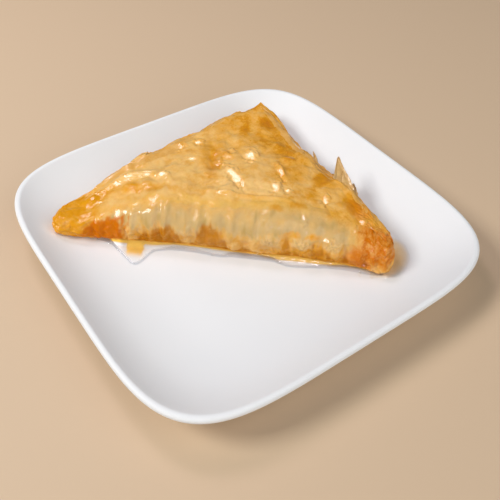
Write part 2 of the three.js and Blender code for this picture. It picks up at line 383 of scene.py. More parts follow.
def write_map(obj, where):
    """Lays a UV map from one place for each point."""
    found = np.asarray(where, float).reshape(-1, 2)
    corners = np.zeros(len(obj.data.loops), int)
    obj.data.loops.foreach_get("vertex_index", corners)
    obj.data.uv_layers.active.data.foreach_set("uv", found[corners].ravel())


def heights_of(obj):
    """A function that gives the top of a piece (mm) at a place in the plate's frame, or None beside it."""
    tree = BVHTree.FromObject(obj, bpy.context.evaluated_depsgraph_get())
    above_all = 0.2

    def top(x, y):
        hit = tree.ray_cast(Vector((x * MM, y * MM, above_all)), Vector((0, 0, -1)))[0]
        return None if hit is None else hit.z / MM

    return top


def closed_sheet(name, grid, thickness):
    """A thin closed sheet: a grid of points (rows x columns x 3, mm) given a thickness by Solidify."""
    rows, columns = grid.shape[:2]
    nothing_selected()
    bpy.ops.mesh.primitive_grid_add(x_subdivisions=columns - 1, y_subdivisions=rows - 1, size=GRID_SIZE)
    obj = added(name)
    place_points(obj, grid)
    only(obj)
    wall = obj.modifiers.new("thickness", "SOLIDIFY")
    wall.thickness = thickness * MM
    wall.offset = 0
    bpy.ops.object.modifier_apply(modifier=wall.name)
    return obj


def dressed(name, pieces, material, angle=None):
    """Joins pieces under one name, shades them smooth, up to an angle in degrees if one is given, and gives them a
    material."""
    only(*pieces)
    if len(pieces) > 1:
        bpy.ops.object.join()
    obj = added(name)
    if angle is None:
        bpy.ops.object.shade_smooth()
    else:
        bpy.ops.object.shade_smooth_by_angle(angle=math.radians(angle))
    obj.data.materials.clear()
    obj.data.materials.append(material)
    return obj


# Materials

class Wiring:
    """Adds nodes to a new material and links what it is given."""

    def __init__(self, name):
        self.material = bpy.data.materials.new(name)
        self.material.use_nodes = True
        self.tree = self.material.node_tree
        self.tree.nodes.clear()
        self.output = self.tree.nodes.new("ShaderNodeOutputMaterial")

    def add(self, kind, values=None, **settings):
        node = self.tree.nodes.new("ShaderNode" + kind)
        for key, value in settings.items():
            setattr(node, key, value)
        for key, value in (values or {}).items():
            self.put(node.inputs[key], value)
        return node

    def put(self, socket, value):
        if isinstance(value, bpy.types.NodeSocket):
            self.tree.links.new(value, socket)
        elif isinstance(value, bpy.types.Node):
            self.tree.links.new(value.outputs[0], socket)
        elif hasattr(value, "__len__") and len(value) == 3 and len(socket.default_value) == 4:
            socket.default_value = (*value, 1.0)
        else:
            socket.default_value = value

    def math(self, operation, a, b, clamped=False):
        return self.add("Math", {0: a, 1: b}, operation=operation, use_clamp=clamped)

    def times(self, a, b, clamped=False):
        return self.math("MULTIPLY", a, b, clamped)

    def less(self, a, b):
        return self.math("SUBTRACT", a, b)

    def uneven(self, value, cloud, share, clamped=False):
        """A value that a noise round 0.5 makes uneven."""
        return self.math("ADD", value, self.times(self.less(cloud, 0.5), share), clamped)

    def mixed(self, share, a, b):
        return self.add("Mix", {0: share, 6: a, 7: b}, data_type="RGBA").outputs[2]

    def attribute(self, name):
        return self.add("Attribute", attribute_name=name).outputs["Fac"]

    def places(self):
        """Object coordinates."""
        return self.add("Mapping", {"Vector": self.add("TexCoord").outputs["Object"]})

    def noise(self, where, scale, detail=2.0, rough=0.5, twist=0.0):
        return self.add("TexNoise", {"Vector": where, "Scale": scale, "Detail": detail, "Roughness": rough,
                                     "Distortion": twist}).outputs["Fac"]

    def ramp(self, value, low, high, start=0.0, end=1.0):
        """From start at low to end at high."""
        return self.add("MapRange", {"Value": value, "From Min": low, "From Max": high, "To Min": start,
                                     "To Max": end}, clamp=True)

    def bump(self, height, strength, distance):
        return self.add("Bump", {"Strength": strength, "Distance": distance, "Height": height})

    def finished(self, shader):
        self.put(self.output.inputs["Surface"], shader)
        return self.material


def porcelain_material(look):
    w = Wiring("white_porcelain")
    where = w.places()
    cloud = w.noise(where, 22.0, 3.0)
    colour = w.mixed(w.ramp(cloud, 0.3, 0.7), look.glaze_colour, look.glaze_shade)
    bump = w.bump(w.noise(where, 90.0), 0.04, 0.0005)
    return w.finished(w.add("BsdfPrincipled", {
        "Base Color": colour, "Roughness": w.ramp(cloud, 0, 1, 0.46, 0.54), "IOR": 1.5, "Specular IOR Level": 0.35,
        "Normal": bump}))


def pastry_colour(w, look):
    """The baked colour of the filo: gold to deep gold, then cream, amber and brown where the attributes say."""
    where = w.places()
    fine = w.noise(where, 900.0, 3.0, 0.6)
    coarse = w.noise(where, 260.0, 3.0, 0.55, 0.4)
    bake = w.uneven(w.uneven(w.attribute("bake"), coarse, 1.0), fine, 0.9)
    colour = w.mixed(w.ramp(bake, 0.0, 1.0), look.gold_light, look.gold_deep)
    colour = w.mixed(w.ramp(bake, 0.75, 1.6), colour, look.gold_dark)
    colour = w.mixed(w.times(w.attribute("yellow"), 0.6), colour, look.yellow)
    # The peach is pale filo, and also the painted highlights on crests and the painted sheen on the top
    colour = w.mixed(w.attribute("peach"), colour, look.peach)
    colour = w.mixed(w.uneven(w.attribute("cream"), coarse, 0.25, True), colour, look.cream)
    # The cream shade between the pleats is painted shade
    colour = w.mixed(w.times(w.attribute("streak"), w.attribute("cream")), colour, look.cream_shade)
    colour = w.mixed(w.times(w.attribute("honey"), w.ramp(coarse, 0.15, 0.55), True), colour, look.honey)
    soak = w.uneven(w.attribute("soak"), coarse, 0.3, True)
    colour = w.mixed(w.times(soak, w.ramp(w.attribute("soak"), 0.02, 0.2)), colour, look.amber)
    toast = w.times(w.attribute("toast"), w.ramp(coarse, 0.1, 0.5), True)
    return w.mixed(toast, colour, look.brown), fine, coarse


def crust_material(look):
    w = Wiring("syrup_glazed_filo")
    colour, fine, coarse = pastry_colour(w, look)
    bump = w.bump(w.math("ADD", w.times(fine, 0.35), coarse), look.fine_relief, 0.0004)
    return w.finished(w.add("BsdfPrincipled", {
        "Base Color": colour, "Roughness": w.ramp(coarse, 0.3, 0.7, 0.3, 0.45), "IOR": 1.45,
        "Specular IOR Level": 0.1, "Subsurface Weight": 0.3, "Subsurface Radius": (1.0, 0.8, 0.5),
        "Subsurface Scale": 0.0011, "Coat Weight": w.attribute("shine"), "Coat Roughness": look.syrup_roughness,
        "Coat IOR": 1.58, "Normal": bump}))


def leaf_material(look):
    w = Wiring("dry_filo_leaf")
    where = w.places()
    fine = w.noise(where, 1100.0)
    coarse = w.noise(where, 240.0, 3.0, 0.6)
    colour = w.mixed(w.ramp(coarse, 0.3, 0.7), look.leaf_pale, look.leaf_gold)
    colour = w.mixed(w.attribute("dry"), colour, look.leaf_dry)
    colour = w.mixed(w.times(w.attribute("toast"), w.ramp(fine, 0.1, 0.6)), colour, look.leaf_brown)
    bump = w.bump(fine, 0.25, 0.0002)
    return w.finished(w.add("BsdfPrincipled", {
        "Base Color": colour, "Roughness": w.ramp(fine, 0, 1, 0.28, 0.5), "Coat Weight": 0.5,
        "Coat Roughness": 0.12, "Normal": bump}))


def syrup_material(look):
    """Clear syrup: what is under it shows tinted by how deep it is, with a wet gloss on top, a white body that is
    painted sheen and a grey rim that is painted shade.
    """
    clear_white, rim_shade_tint = (1.0, 1.0, 1.0), (0.83, 0.84, 0.865)
    w = Wiring("clear_syrup")
    deep = w.attribute("deep")
    cloud = w.ramp(w.noise(w.places(), 300.0), 0.3, 0.7)
    deep = w.times(deep, w.ramp(cloud, 0, 1, 0.85, 1.1), True)
    tint = w.mixed(deep, clear_white, look.syrup_tint)
    # The grey outline of the rim is painted shade, for the dark line that the rounded rim's refraction gives
    edge = w.attribute("edge")
    clear = w.add("BsdfTransparent", {"Color": w.mixed(edge, tint, rim_shade_tint)})
    body = w.add("BsdfDiffuse", {"Color": w.mixed(w.ramp(deep, 0.0, 0.4), clear_white, look.syrup_body)})
    # The white diffuse body of the film is painted sheen, strongest in the painted highlight beside the tongue
    cloudy = w.math("ADD", w.times(w.attribute("cloudy"), 0.35), w.times(deep, 0.4))
    clear = w.add("MixShader", {0: w.times(cloudy, w.less(1.0, edge)), 1: clear, 2: body})
    gloss = w.add("BsdfAnisotropic", {"Color": clear_white, "Roughness": 0.04})
    outside = w.less(1.0, w.add("NewGeometry").outputs["Backfacing"])
    shine = w.times(w.add("Fresnel", {"IOR": 1.47}), outside)
    return w.finished(w.add("MixShader", {0: shine, 1: clear, 2: gloss}))


# The plate

PLATE_POINTS = 256
# How far the points of the rim are drawn towards the corners
CORNER_CROWDING = 0.12
# Where the wall turns up into the lip, as shares of the wall, and how far, in millimetres
FLARE_FROM, LIP_MEETS, LIP_FLARE = 0.6, 0.945, 2.33
FOOT_EDGE = 0.15


def plate_profile():
    """Shares of the half width and heights, from the hub over the lip and back under to the hub."""
    stations = [(HUB, FLOOR_Z), (0.33, FLOOR_Z)]
    for t in np.linspace(0, LIP_MEETS, 30):
        share = WALL_START + t * (1 - WALL_START)
        flare = LIP_FLARE * max(0.0, (t - FLARE_FROM) / (LIP_MEETS - FLARE_FROM)) ** 2
        stations.append((share, FLOOR_Z + float(rise_at(share)) + flare))
    lip_share, lip_z = 1 - LIP_RADIUS / HALF, FLOOR_Z + WALL_RISE - LIP_RADIUS * 0.4
    for degrees in range(126, -50, -12):
        angle = math.radians(degrees)
        stations.append((lip_share + LIP_RADIUS * math.cos(angle) / HALF, lip_z + LIP_RADIUS * math.sin(angle)))
    for t in np.linspace(0.86, 0.36, 12):
        share = WALL_START + t * (1 - WALL_START)
        stations.append((share + WALL_SHIFT, FLOOR_Z + float(rise_at(share)) - WALL_THICKNESS))
    return stations + [
        (FOOT_OUTER + FOOT_SLOPE, FOOT_DEPTH), (FOOT_OUTER + 0.003, 0.5), (FOOT_OUTER, FOOT_EDGE),
        (FOOT_OUTER - 0.004, 0.0), (FOOT_INNER + 0.004, 0.0), (FOOT_INNER, FOOT_EDGE),
        (FOOT_INNER - 0.003, 0.5), (FOOT_INNER - FOOT_SLOPE, FOOT_DEPTH), (HUB, FOOT_DEPTH)]


def build_plate(look):
    """The glazed plate, drawn out of a small disc ring by ring."""
    nothing_selected()
    bpy.ops.mesh.primitive_circle_add(vertices=PLATE_POINTS, radius=HUB * HALF * MM, fill_type="TRIFAN")
    obj = added("plate_glaze")
    rim = points_of(obj)
    turn = np.arctan2(rim[:, 1], rim[:, 0])
    turn = turn + CORNER_CROWDING * np.sin(4 * turn)
    reach = HUB * HALF / share_of_plate(np.cos(turn) * HALF, np.sin(turn) * HALF)
    reach[np.hypot(rim[:, 0], rim[:, 1]) < 1e-6] = 0
    place_points(obj, np.stack([np.cos(turn) * reach, np.sin(turn) * reach, np.full(len(turn), FLOOR_Z)], 1))
    only(obj)
    bpy.ops.object.mode_set(mode="EDIT")
    bpy.ops.mesh.select_mode(type="EDGE")
    bpy.ops.mesh.select_all(action="DESELECT")
    bpy.ops.mesh.select_non_manifold(extend=False, use_wire=False, use_boundary=True,
                                     use_multi_face=False, use_non_contiguous=False, use_verts=False)
    stations = plate_profile()
    for (share, z), (next_share, next_z) in zip(stations, stations[1:]):
        ratio = next_share / share
        bpy.ops.mesh.extrude_edges_move(TRANSFORM_OT_translate={"value": (0, 0, (next_z - z) * MM)})
        bpy.ops.transform.resize(value=(ratio, ratio, 1), center_override=(0, 0, next_z * MM))
    bpy.ops.mesh.edge_face_add()
    bpy.ops.mesh.poke()
    turn_faces_out()
    return dressed("plate_glaze", [obj], porcelain_material(look))


# The pastry: its rings, counted along the fold and round each cut

SECTIONS = 400
NOSE_POINTS, TOP_POINTS, TERRACE_STEPS, PACK_STEPS, UNDER_POINTS = 58, 122, 3, (5, 2, 2), 7
NOSE, TOP, TERRACE, LEG, UNDER = range(5)


def crust_rings():
    """The part's form at a finer mesh. Returns the points (sections x ring x 3, mm) and, for each of them, its place
    along the fold, its place back, its height above the rest and which region of the cut it is on."""
    along = np.linspace(LEFT_END, RIGHT_END, SECTIONS)
    front, behind = fold_front(along), leg_back(along)
    reach = behind - front
    nose = np.minimum(NOSE_DEPTH, reach * 0.45)
    room = np.minimum(1, reach / FULL_REACH)
    crest = thickness_at(along, front + nose)
    middle = NOSE_WAIST * crest
    backs, ups, kinds = [], [], []

    def note(back, up, kind):
        backs.append(back)
        ups.append(up)
        kinds.append(kind)

    for k in range(NOSE_POINTS):
        turn = math.radians(lerp(*NOSE_TURN, k / (NOSE_POINTS - 1)))
        out = abs(math.cos(turn)) ** (2 / NOSE_POWER)
        lift = math.copysign(abs(math.sin(turn)) ** (2 / NOSE_POWER), math.sin(turn))
        inset = (1 - out) * (NOSE_TUCK * NOSE_OVERHANG if turn < 0 else nose)
        up = middle + (middle if turn < 0 else crest - middle) * lift
        fade = math.cos(turn * 0.8) * smooth(up, 0, 6)
        lump = (wrinkle(along, up * 0.25) + 0.7 * crumple(along, up)) * fade
        note(front - NOSE_OVERHANG * out + inset - WRINKLE_HEIGHT * lump, up, NOSE)
    first = behind - TERRACES * TERRACE_WIDTH * room
    for k in range(1, TOP_POINTS + 1):
        back = lerp(front + nose, first, (k - 0.4) / TOP_POINTS)
        note(back, thickness_at(along, back) + blister_height(along, back), TOP)
    corners = []
    for k in range(TERRACES):
        uneven = LEAF_RAGGEDNESS * ragged(along, 53 * (k + 1))
        back = first + (k * TERRACE_WIDTH + 0.5 * uneven) * room
        up = thickness_at(along, back) - k * TERRACE_DROP * room
        corners.append((back, up, TERRACE_STEPS))
        corners.append((back + 0.4 * room, up - TERRACE_DROP * room, TERRACE_STEPS))
    edge = thickness_at(along, behind) - TERRACES * TERRACE_DROP * room
    for k in range(LEAF_PACKS):
        uneven = LEAF_RAGGEDNESS * ragged(along, 37 * k) + LEAF_STEP * k
        low = edge * (1 - (k + LEAF_SHARE) / LEAF_PACKS)
        groove = low - ((1 - LEAF_SHARE) / 2) * (edge / LEAF_PACKS)
        corners.append((behind + uneven * room, edge * (1 - k / LEAF_PACKS), PACK_STEPS[0]))
        corners.append((behind + (uneven - 0.2) * room, low, PACK_STEPS[1]))
        if k < LEAF_PACKS - 1:
            corners.append((behind + (uneven - LEAF_GROOVE) * room, groove, PACK_STEPS[2]))
    corners.append((behind - LEAF_GROOVE, 0 * behind, 0))
    for k, ((back, up, steps), (next_back, next_up, _)) in enumerate(zip(corners, corners[1:])):
        for j in range(steps):
            share = j / steps
            note(lerp(back, next_back, share), lerp(up, next_up, share), TERRACE if k < 2 * TERRACES else LEG)
    for k in range(UNDER_POINTS):
        share = (k + 0.4) / (UNDER_POINTS - 0.2)
        note(lerp(behind - LEAF_GROOVE, front + 1.4, share), 0 * behind, UNDER)
    back, up = np.stack(backs, 1), np.stack(ups, 1)
    ends = np.minimum(along - LEFT_END, RIGHT_END - along)
    closing = np.sqrt(1 - (1 - np.clip(ends / END_ROUNDING, 0, 1)) ** 2)[:, None]
    centre = back.mean(1, keepdims=True)
    back = lerp(centre, back, lerp(END_WIDTH, 1, closing))
    up = up * lerp(END_HEIGHT, 1, closing)
    along = np.repeat(along[:, None], back.shape[1], 1)
    return in_plate_frame(along, back, up), along, back, up, np.array(kinds)


def surface_normals(points):
    """Outward normals of a closed set of rings."""
    across = np.roll(points, -1, 1) - np.roll(points, 1, 1)
    forward = np.gradient(points, axis=0)
    normals = np.cross(forward, across)
    return normals / np.maximum(np.linalg.norm(normals, axis=-1, keepdims=True), 1e-9)


# The pastry's fine relief: creases and lumps where the photo shows them, as places in the pastry's frame
LONG_RIDGE = ((-64, 12), (-58, 20), (-52.2, 26), (-45, 30), (-36.5, 31.5), (-28.5, 28))
GROOVE = ((-15, 71), (-12, 63), (-10, 52), (-8, 40), (-6, 30))
SHOULDER_LINE = ((-12, 20), (0, 18.5), (14, 18), (30, 19), (38, 16))
HOOK = ((23.8, 46.5), (26.8, 40.6), (27.4, 35.3), (25.5, 31), (21, 29))
# The finely crinkled place in front of the largest glint, as a spot
BUSY = (14, 25, 24, 6, 3)
# Pale crinkled lumps low on the fold, as spots by distance up the skin
LUMPS = ((26, 10.5, 4.8, 2.7, 0), (40, 11.3, 4.4, 2.8, 0), (54.5, 12.8, 4.2, 3.2, 0))


def crumpled(a, s, size, seed, dull=0.0):
    """Sharp-crested wrinkles, 0 in the hollows to 1 on the crests; dull rounds the crests."""
    bend = 0.6 * noise(a / (2.2 * size), s / (2.2 * size), seed + 3)
    return (1 - np.sqrt(noise(a / size + bend, s / size - bend, seed) ** 2 + dull)) ** 2


def busy_crinkles(a, s):
    return crumpled(a + 1.2 * noise(a / 4, s / 4, 53), s, 2.8, 51, 0.03)


def lump_crinkles(a, s):
    return crumpled(a, s, 1.9, 99)


def wrap_crinkles(a, s):
    return crumpled(a, s, 1.4, 97)


def lump_gap(a, s):
    """How far a place on the fold is from the gaps between its rounded lumps."""
    return cell_gap(a / 5.5 + 0.35 * noise(a / 4, s / 4, 87), s / 5.0 + 0.3 * noise(a / 5, 0.4, 89), 83)


def on_lumps(a, s):
    uneven = a + 0.8 * noise(a / 2.5, s / 2.5, 241)
    return np.maximum.reduce([spot(uneven, s, lump) for lump in LUMPS])


def leaning(a, s):
    """The place along the fold by which its pleats are drawn; they lean more the higher they reach."""
    return a + 0.10 * s * noise(a / 14, 0.3, 77)


def top_relief(a, b, s):
    """Height in millimetres of the swells, creases and curls of the top leaf."""
    patchy = smooth(layered(a / 20, s / 20, 401), -0.1, 0.6)
    height = 0.6 * layered(a / 15, s / 15, 11, 2) + 0.40 * noise(a / 6.5, s / 6.5, 21)
    height = height + 0.13 * noise(a / 3.1, s / 3.1, 25)
    for size, seed, high in ((7.5, 31, 0.10), (2.9, 41, 0.05)):
        height = height + high * patchy * (crumpled(a, s, size, seed, 0.02) - 0.5)
    height = height + 0.24 * spot(a, b, BUSY) * (busy_crinkles(a, s) - 0.4)
    away, share = to_line(a, b, LONG_RIDGE)
    height = height * (1 - 0.75 * bell(away, 0, 3.0)) + 1.0 * bell(away, 0, 2.2) * smooth(share, 0, 0.08)
    away, share = to_line(a, b, GROOVE)
    height = height - 0.9 * bell(away, 0, 3.0) * np.sin(np.pi * np.clip(share, 0.08, 0.95)) ** 0.5
    away, share = to_line(a, b, SHOULDER_LINE)
    fade = np.sin(np.pi * np.clip(share, 0.02, 0.98))
    height = height + (0.30 * bell(away, 0, 1.1) - 0.3 * bell(away, 2.2, 1.4) * (b < 20)) * fade
    away, share = to_line(a, b, HOOK)
    return height * (1 - 0.6 * bell(away, 0, 2.4)) + 0.5 * bell(away, 0, 1.9)


def front_relief(a, s, up):
    """Height of the soft bulges, faint pleats and rounded lumps down the fold."""
    lean = leaning(a, s)
    patchy = smooth(layered(a / 13, s / 10, 75), -0.2, 0.6)
    pleats = 0.09 * noise(lean / 2.3, s / 9, 71) + 0.05 * noise(lean / 1.1, s / 6, 73)
    height = pleats * patchy * smooth(up, 2.0, 6) + 0.6 * layered(a / 8, s / 8, 79, 2)
    lobes = smooth(lump_gap(a, s), 0.0, 0.7) * (1 - smooth(s + 2.5 * noise(a / 9, 0.1, 81), 10.0, 16.0))
    sparkling = 0.25 + 0.9 * np.maximum.reduce([bell(a, 22, 11), bell(a, 43, 10), bell(a, -41, 6)])
    small = sparkling * (crumpled(a, s, 2.6, 91) - 0.5) * (1 - smooth(s, 10.0, 14.0))
    foot = -0.5 * bell(s, 1.0, 3.5) * smooth(np.minimum(a - LEFT_END, RIGHT_END - a), 2, 16)
    height = height + on_lumps(a, s) * (0.9 + 0.55 * (lump_crinkles(a, s) - 0.5))
    return height + 1.1 * lobes * (0.6 + 0.6 * noise(a / 15, 0.5, 85)) + 0.55 * small + foot - 0.35


def tip_relief(a, s, up):
    """Fine crinkles of the two wrapped ends."""
    right, left = smooth(a, 62, 72), smooth(-a, 55, 64)
    wraps = np.sin(TAU * (up / 2.1 + 0.35 * noise(a / 9, 0.7, 91)))
    low = 1 - smooth(up, 4.5, 7.5)
    crinkles = 0.5 * (crumpled(a, s, 2.6, 93) - 0.5) + 0.35 * (wrap_crinkles(a, s) - 0.5)
    return right * crinkles + 0.12 * left * wraps * low + 0.12 * left * (crumpled(a, s, 3.2, 95) - 0.5)


# The glints: small facets of wet syrup, turned so that a small light shows in them from the photo's side.
# On the top: along, back, half length, half width and turn in degrees; the first 19 are a little wider
GLINTS = (
    (-60, 16.8, 1.6, 1.0, 0), (-51.8, 23.3, 2.6, 1.2, 0), (-45.9, 27.6, 4.0, 0.9, 0), (-38.4, 31.2, 3.6, 0.8, 0),
    (-30.3, 28.4, 2.4, 2.0, 0), (-27.6, 55.7, 2.8, 2.6, 0), (-18.7, 59.6, 2.8, 2.4, 0), (-18.4, 43.8, 2.2, 1.7, 0),
    (-4.9, 42.8, 1.5, 3.2, 0), (-0.1, 53.8, 1.7, 2.3, 0), (10.4, 49.8, 2.8, 4.6, 0), (4.4, 31.4, 8.4, 2.6, -56),
    (26.7, 38.4, 5.4, 1.5, -74), (25.3, 25.8, 2.4, 3.0, 0), (31.1, 25.2, 1.6, 1.6, 0), (49.6, 23.7, 1.5, 3.2, 0),
    (40.1, 8.4, 1.6, 2.4, 0), (66.9, 12.9, 2.0, 1.8, 0), (74, 16.5, 1.3, 1.3, 0), (-61.6, 12.6, 1.5, 1.2, 0),
    (-57.6, 11.8, 1.6, 1.2, 0), (-63.0, 9.6, 1.3, 1.0, 0), (-60.6, 4.8, 1.3, 1.1, 0), (-31, 10.8, 2.6, 1.7, 0),
    (-18, 12.6, 2.2, 1.7, 0),
)
WIDE_GLINTS, WIDE_SPREAD, SPREAD = 19, 1.1, 0.85
# Down the fold: along, distance up the skin, and half size
FRONT_GLINTS = (
    (-66.0, 12.3, 0.9), (-69.5, 9.7, 0.9), (-40.9, 9.2, 1.3), (-38.5, 10.5, 1.1), (-31.4, 12.4, 1.5), (-12.2, 7.8, 1.2),
    (3.0, 9.1, 1.2), (7.2, 13.1, 1.3), (16.3, 14.7, 1.4), (23.8, 13.1, 1.4), (21.0, 10.5, 1.1), (42.0, 13.8, 1.5),
    (44.1, 10.2, 1.6), (47.0, 12.0, 1.1), (64.0, 21.0, 1.4), (69.6, 3.7, 1.1), (74.3, 21.2, 1.0), (77.5, 17.1, 0.9),
    (16.9, 14.5, 0.8), (24.6, 12.5, 0.9), (22.5, 9.7, 0.9), (36.2, 12.1, 1.0), (39.8, 12.3, 0.9), (42.3, 8.7, 0.9),
    (12.2, 8.0, 0.8), (52.9, 11.0, 0.8), (-35.8, 11.6, 1.0), (-32.0, 11.0, 0.8), (-12.2, 7.0, 0.8), (1.0, 12.7, 0.8),
    (-44.5, 8.2, 0.9), (71.5, 24.7, 0.9), (75.4, 10.0, 0.8), (74.3, 6.4, 0.9), (79.6, 25.5, 0.9), (78.8, 12.0, 0.9),
)
# Those on the top need a skin that faces up by this much
FACING_UP = 0.25
# The lights that they show, in millimetres
GLINT_AT, NEAR_AT = (-495, -30, 750), (750, -750, 1050)
STEEPEST_FACET = 0.7
DEEPEST_FACET = 1.3


def unit(vector):
    return vector / np.linalg.norm(vector)


def glint_relief(points, normals, a, b, s, outer):
    """How far each point moves out to make the facets, and how much it is on one. Each facet is turned to the light
    that it needs the least turn for."""
    height, wet = np.zeros(a.shape), np.zeros(a.shape)
    places = [(*turned(a - ma, b - mb, turn), length, width) for ma, mb, length, width, turn in GLINTS]
    places += [(a - ma, s - ms, size, size) for ma, ms, size in FRONT_GLINTS]
    torn = np.clip(1 + 2.1 * noise(a / 2.4, s / 2.4, 151) + 1.6 * noise(a / 1.7, s / 1.7, 155), 0.3, 4)
    for number, (da, db, length, width) in enumerate(places):
        spread = WIDE_SPREAD if number < WIDE_GLINTS else SPREAD
        kept = outer if number >= len(GLINTS) else outer * (normals[..., 2] > FACING_UP)
        nearest = np.argmin(da ** 2 + db ** 2 + 1e6 * (kept < 0.5))
        here, facing = points.reshape(-1, 3)[nearest], normals.reshape(-1, 3)[nearest]
        turns = []
        for light in (GLINT_AT, NEAR_AT):
            wanted = unit(np.array(light) - here) + unit(np.array(CAMERA_AT) - here)
            slope = facing - wanted / max(float(wanted @ facing), 0.5)
            turns.append(slope - facing * float(slope @ facing))
        slope = min(turns, key=np.linalg.norm)
        flat = facing - slope * min(1.0, STEEPEST_FACET / max(np.linalg.norm(slope), 1e-6))
        window = np.exp(-((da / (spread * length)) ** 2 + (db / (spread * width)) ** 2) ** 2 * torn) * kept
        to_plane = ((here - points) @ flat) / np.maximum(normals @ flat, 0.4)
        height = lerp(height, np.clip(to_plane, -1.5, 1.5), window)
        wet = np.maximum(wet, window)
    height = np.clip(height, -DEEPEST_FACET, DEEPEST_FACET)
    return height + 0.05 * wet * noise(a / 1.5, s / 1.5, 153), wet


# The pastry's colours. Where the pale skin of the fold begins and ends, as distance up the skin
CREAM_PLACES = (-52, -40, -26, -12, -2, 8, 20, 33, 44, 62, 70)
CREAM_FROM = (11, 10, 12.5, 9.5, 16, 12, 11.5, 13, 10, 8.5, 12)
CREAM_TO = (17, 21, 25, 25, 25, 26, 27.5, 28.5, 28, 24, 18)
# Deeper baked places, and paler ones with a minus, some of which are painted highlight and sheen: along, distance up
# the skin, half sizes, turn and strength
BAKED_AND_SHEEN = (
    (-7, 58, 4.6, 15, 6, 0.7), (4, 92, 2.8, 12, 0, 0.45), (15, 101, 5, 4, 0, 0.7), (26, 86, 16, 18, 30, 0.32),
    (48.5, 57, 4.5, 8, -35, 1.2), (42, 44, 3, 6, -20, 0.5), (63, 40, 6, 5, -40, 0.7), (-37, 34, 13, 3.2, 8, 0.55),
    (-68, 18, 11, 13, 0, 0.3), (-12, 33, 6, 3, 0, 0.3), (57, 28, 6, 5, -30, 0.45), (-25, 95, 8, 5, 40, 0.25),
    (30, 66, 10, 18, 0, 0.3), (-42, 58, 4, 10, -40, 0.3), (-32, 64, 3, 4, 0, 0.35), (-22, 57, 4, 2, 0, 0.4),
    (10, 33, 8, 2, 0, 0.2), (-58, 28, 5, 3, 20, 0.4),
    # Paler ones: the strip along the long ridge is a painted highlight, and the patches at (-26, 52) and (5, 45) are
    # painted sheen
    (-45, 43, 13, 3.5, 33, -0.6), (-26, 52, 14, 12, 0, -0.28), (5, 45, 7, 9, 0, -0.35), (20, 41, 12, 4, 0, -0.4),
    (-20, 82, 8, 8, 30, -0.2), (20, 104, 2.2, 4, 30, -1.0), (-36, 76, 12, 4, 45, -0.3), (10, 70, 4, 8, 0, -0.3),
    (50, 36, 4, 8, 0, -0.3),
)
# Clear golden places, given in the same way
GOLDEN = (
    (46, 4.4, 17, 3.0, 0, 0.85), (32.8, 9, 2.2, 3.4, 0, 1.0), (47.6, 9, 2.4, 4.0, 0, 1.0), (41, 5.3, 11, 3.0, 0, 0.95),
    (58, 8.5, 3, 4.5, 0, 0.65), (36.5, 40.6, 4, 3, 0, 0.6), (50.7, 31, 3, 4.5, 0, 0.4), (43, 40, 3, 4, 0, 0.9),
    (59, 40, 4, 5, -40, 0.65), (62.6, 34, 4, 5, 0, 0.8), (69, 34, 4, 3.5, 0, 0.65), (37, 32, 4.5, 2.6, 0, 0.8),
    (27.3, 28.5, 4, 2.4, 0, 0.75), (48.5, 57.5, 4, 7, -35, 0.95), (-40, 34, 7, 3.4, 10, 0.9), (31, 56, 7, 9, 0, 0.35),
    (51.5, 50, 2.5, 5, -35, 0.5), (19, 8, 2.2, 3, 0, 0.5), (35.5, 14.8, 4, 1.6, 0, 0.7),
    (45.5, 14.8, 3.5, 1.6, 0, 0.7), (51.5, 7.5, 3, 3, 0, 1.0),
)
# Darker soaked places at the foot: middle along, half width, how far up the skin, and strength
TOASTED = ((-27, 13, 11, 1.0), (-22, 7.5, 14, 0.85), (-2.5, 10.0, 16.5, 0.75), (33, 3.6, 14, 0.55), (50, 6, 10, 0.75),
           (57.5, 3.6, 9, 0.5), (41, 8, 4.5, 0.7), (14, 7, 4.5, 0.6), (62, 5, 6, 0.5))
# The clear orange syrup in the left of the fold: along, and how far up the skin it reaches
ORANGE_PLACES, ORANGE_TO = (-65, -58, -50, -43), (4, 11, 15, 16.5)
# Spots by distance up the skin: syrup soaked into the right end and behind it, and the honey left of the middle
END_SOAK, END_SOAK_LOW, BEHIND_END = (66.5, 9.0, 5.0, 5.5, 0), (67.0, 5.0, 6.5, 4.2, 0), (66, 36, 7, 7, -40)
HONEY_PATCH = (-11, 66, 5, 14, 10)
# Spots with less gloss: one on the top, and two by distance up the skin
DULL_HOLLOW, DULL_FOOT, DULL_FOLD = (-43.3, 18.3, 4.5, 3, 0), (46, 3.5, 20, 5, 0), (-3, 23, 24, 7.5, 0)
# Pale filo along the front of the top, as a spot
PALE_SHOULDER = (13, 24.5, 22, 5, 3)


def fold_cream(a, s, waver, low, high):
    """The pale skin down the fold from low to high, and paler patches under it."""
    drift = 2.6 * layered(a / 8, s / 8, 225)
    cream = smooth(s + waver, low - 2.5, low + 2.5) * (1 - smooth(s + drift, high - 6.0, high + 4.0))
    cream = cream * between(a + 1.4 * waver, -56, -44, 57, 70) * (0.86 + 0.3 * noise(a / 5, s / 6, 227))
    low_cream = 0.6 * smooth(s + 0.6 * waver, 2.5, 5.5) * (s < high) * between(a + waver, -46, -38, 56, 66)
    low_cream = low_cream * (1 - 0.85 * bell(a, 47, 16))
    return np.maximum(cream, low_cream * (0.75 + 0.5 * noise(a / 4, s / 4, 229)))


def orange_window(a, s, waver):
    """Where the clear orange syrup stands at the left of the fold."""
    reach = np.interp(a, ORANGE_PLACES, ORANGE_TO)
    sides = smooth(a + waver, -68, -60) * (1 - smooth(a + 1.5 * waver, -47, -41))
    return sides * (1 - smooth(s + 0.8 * waver, reach - 1.8, reach + 1.4)) * smooth(s, 0.8, 2.2)


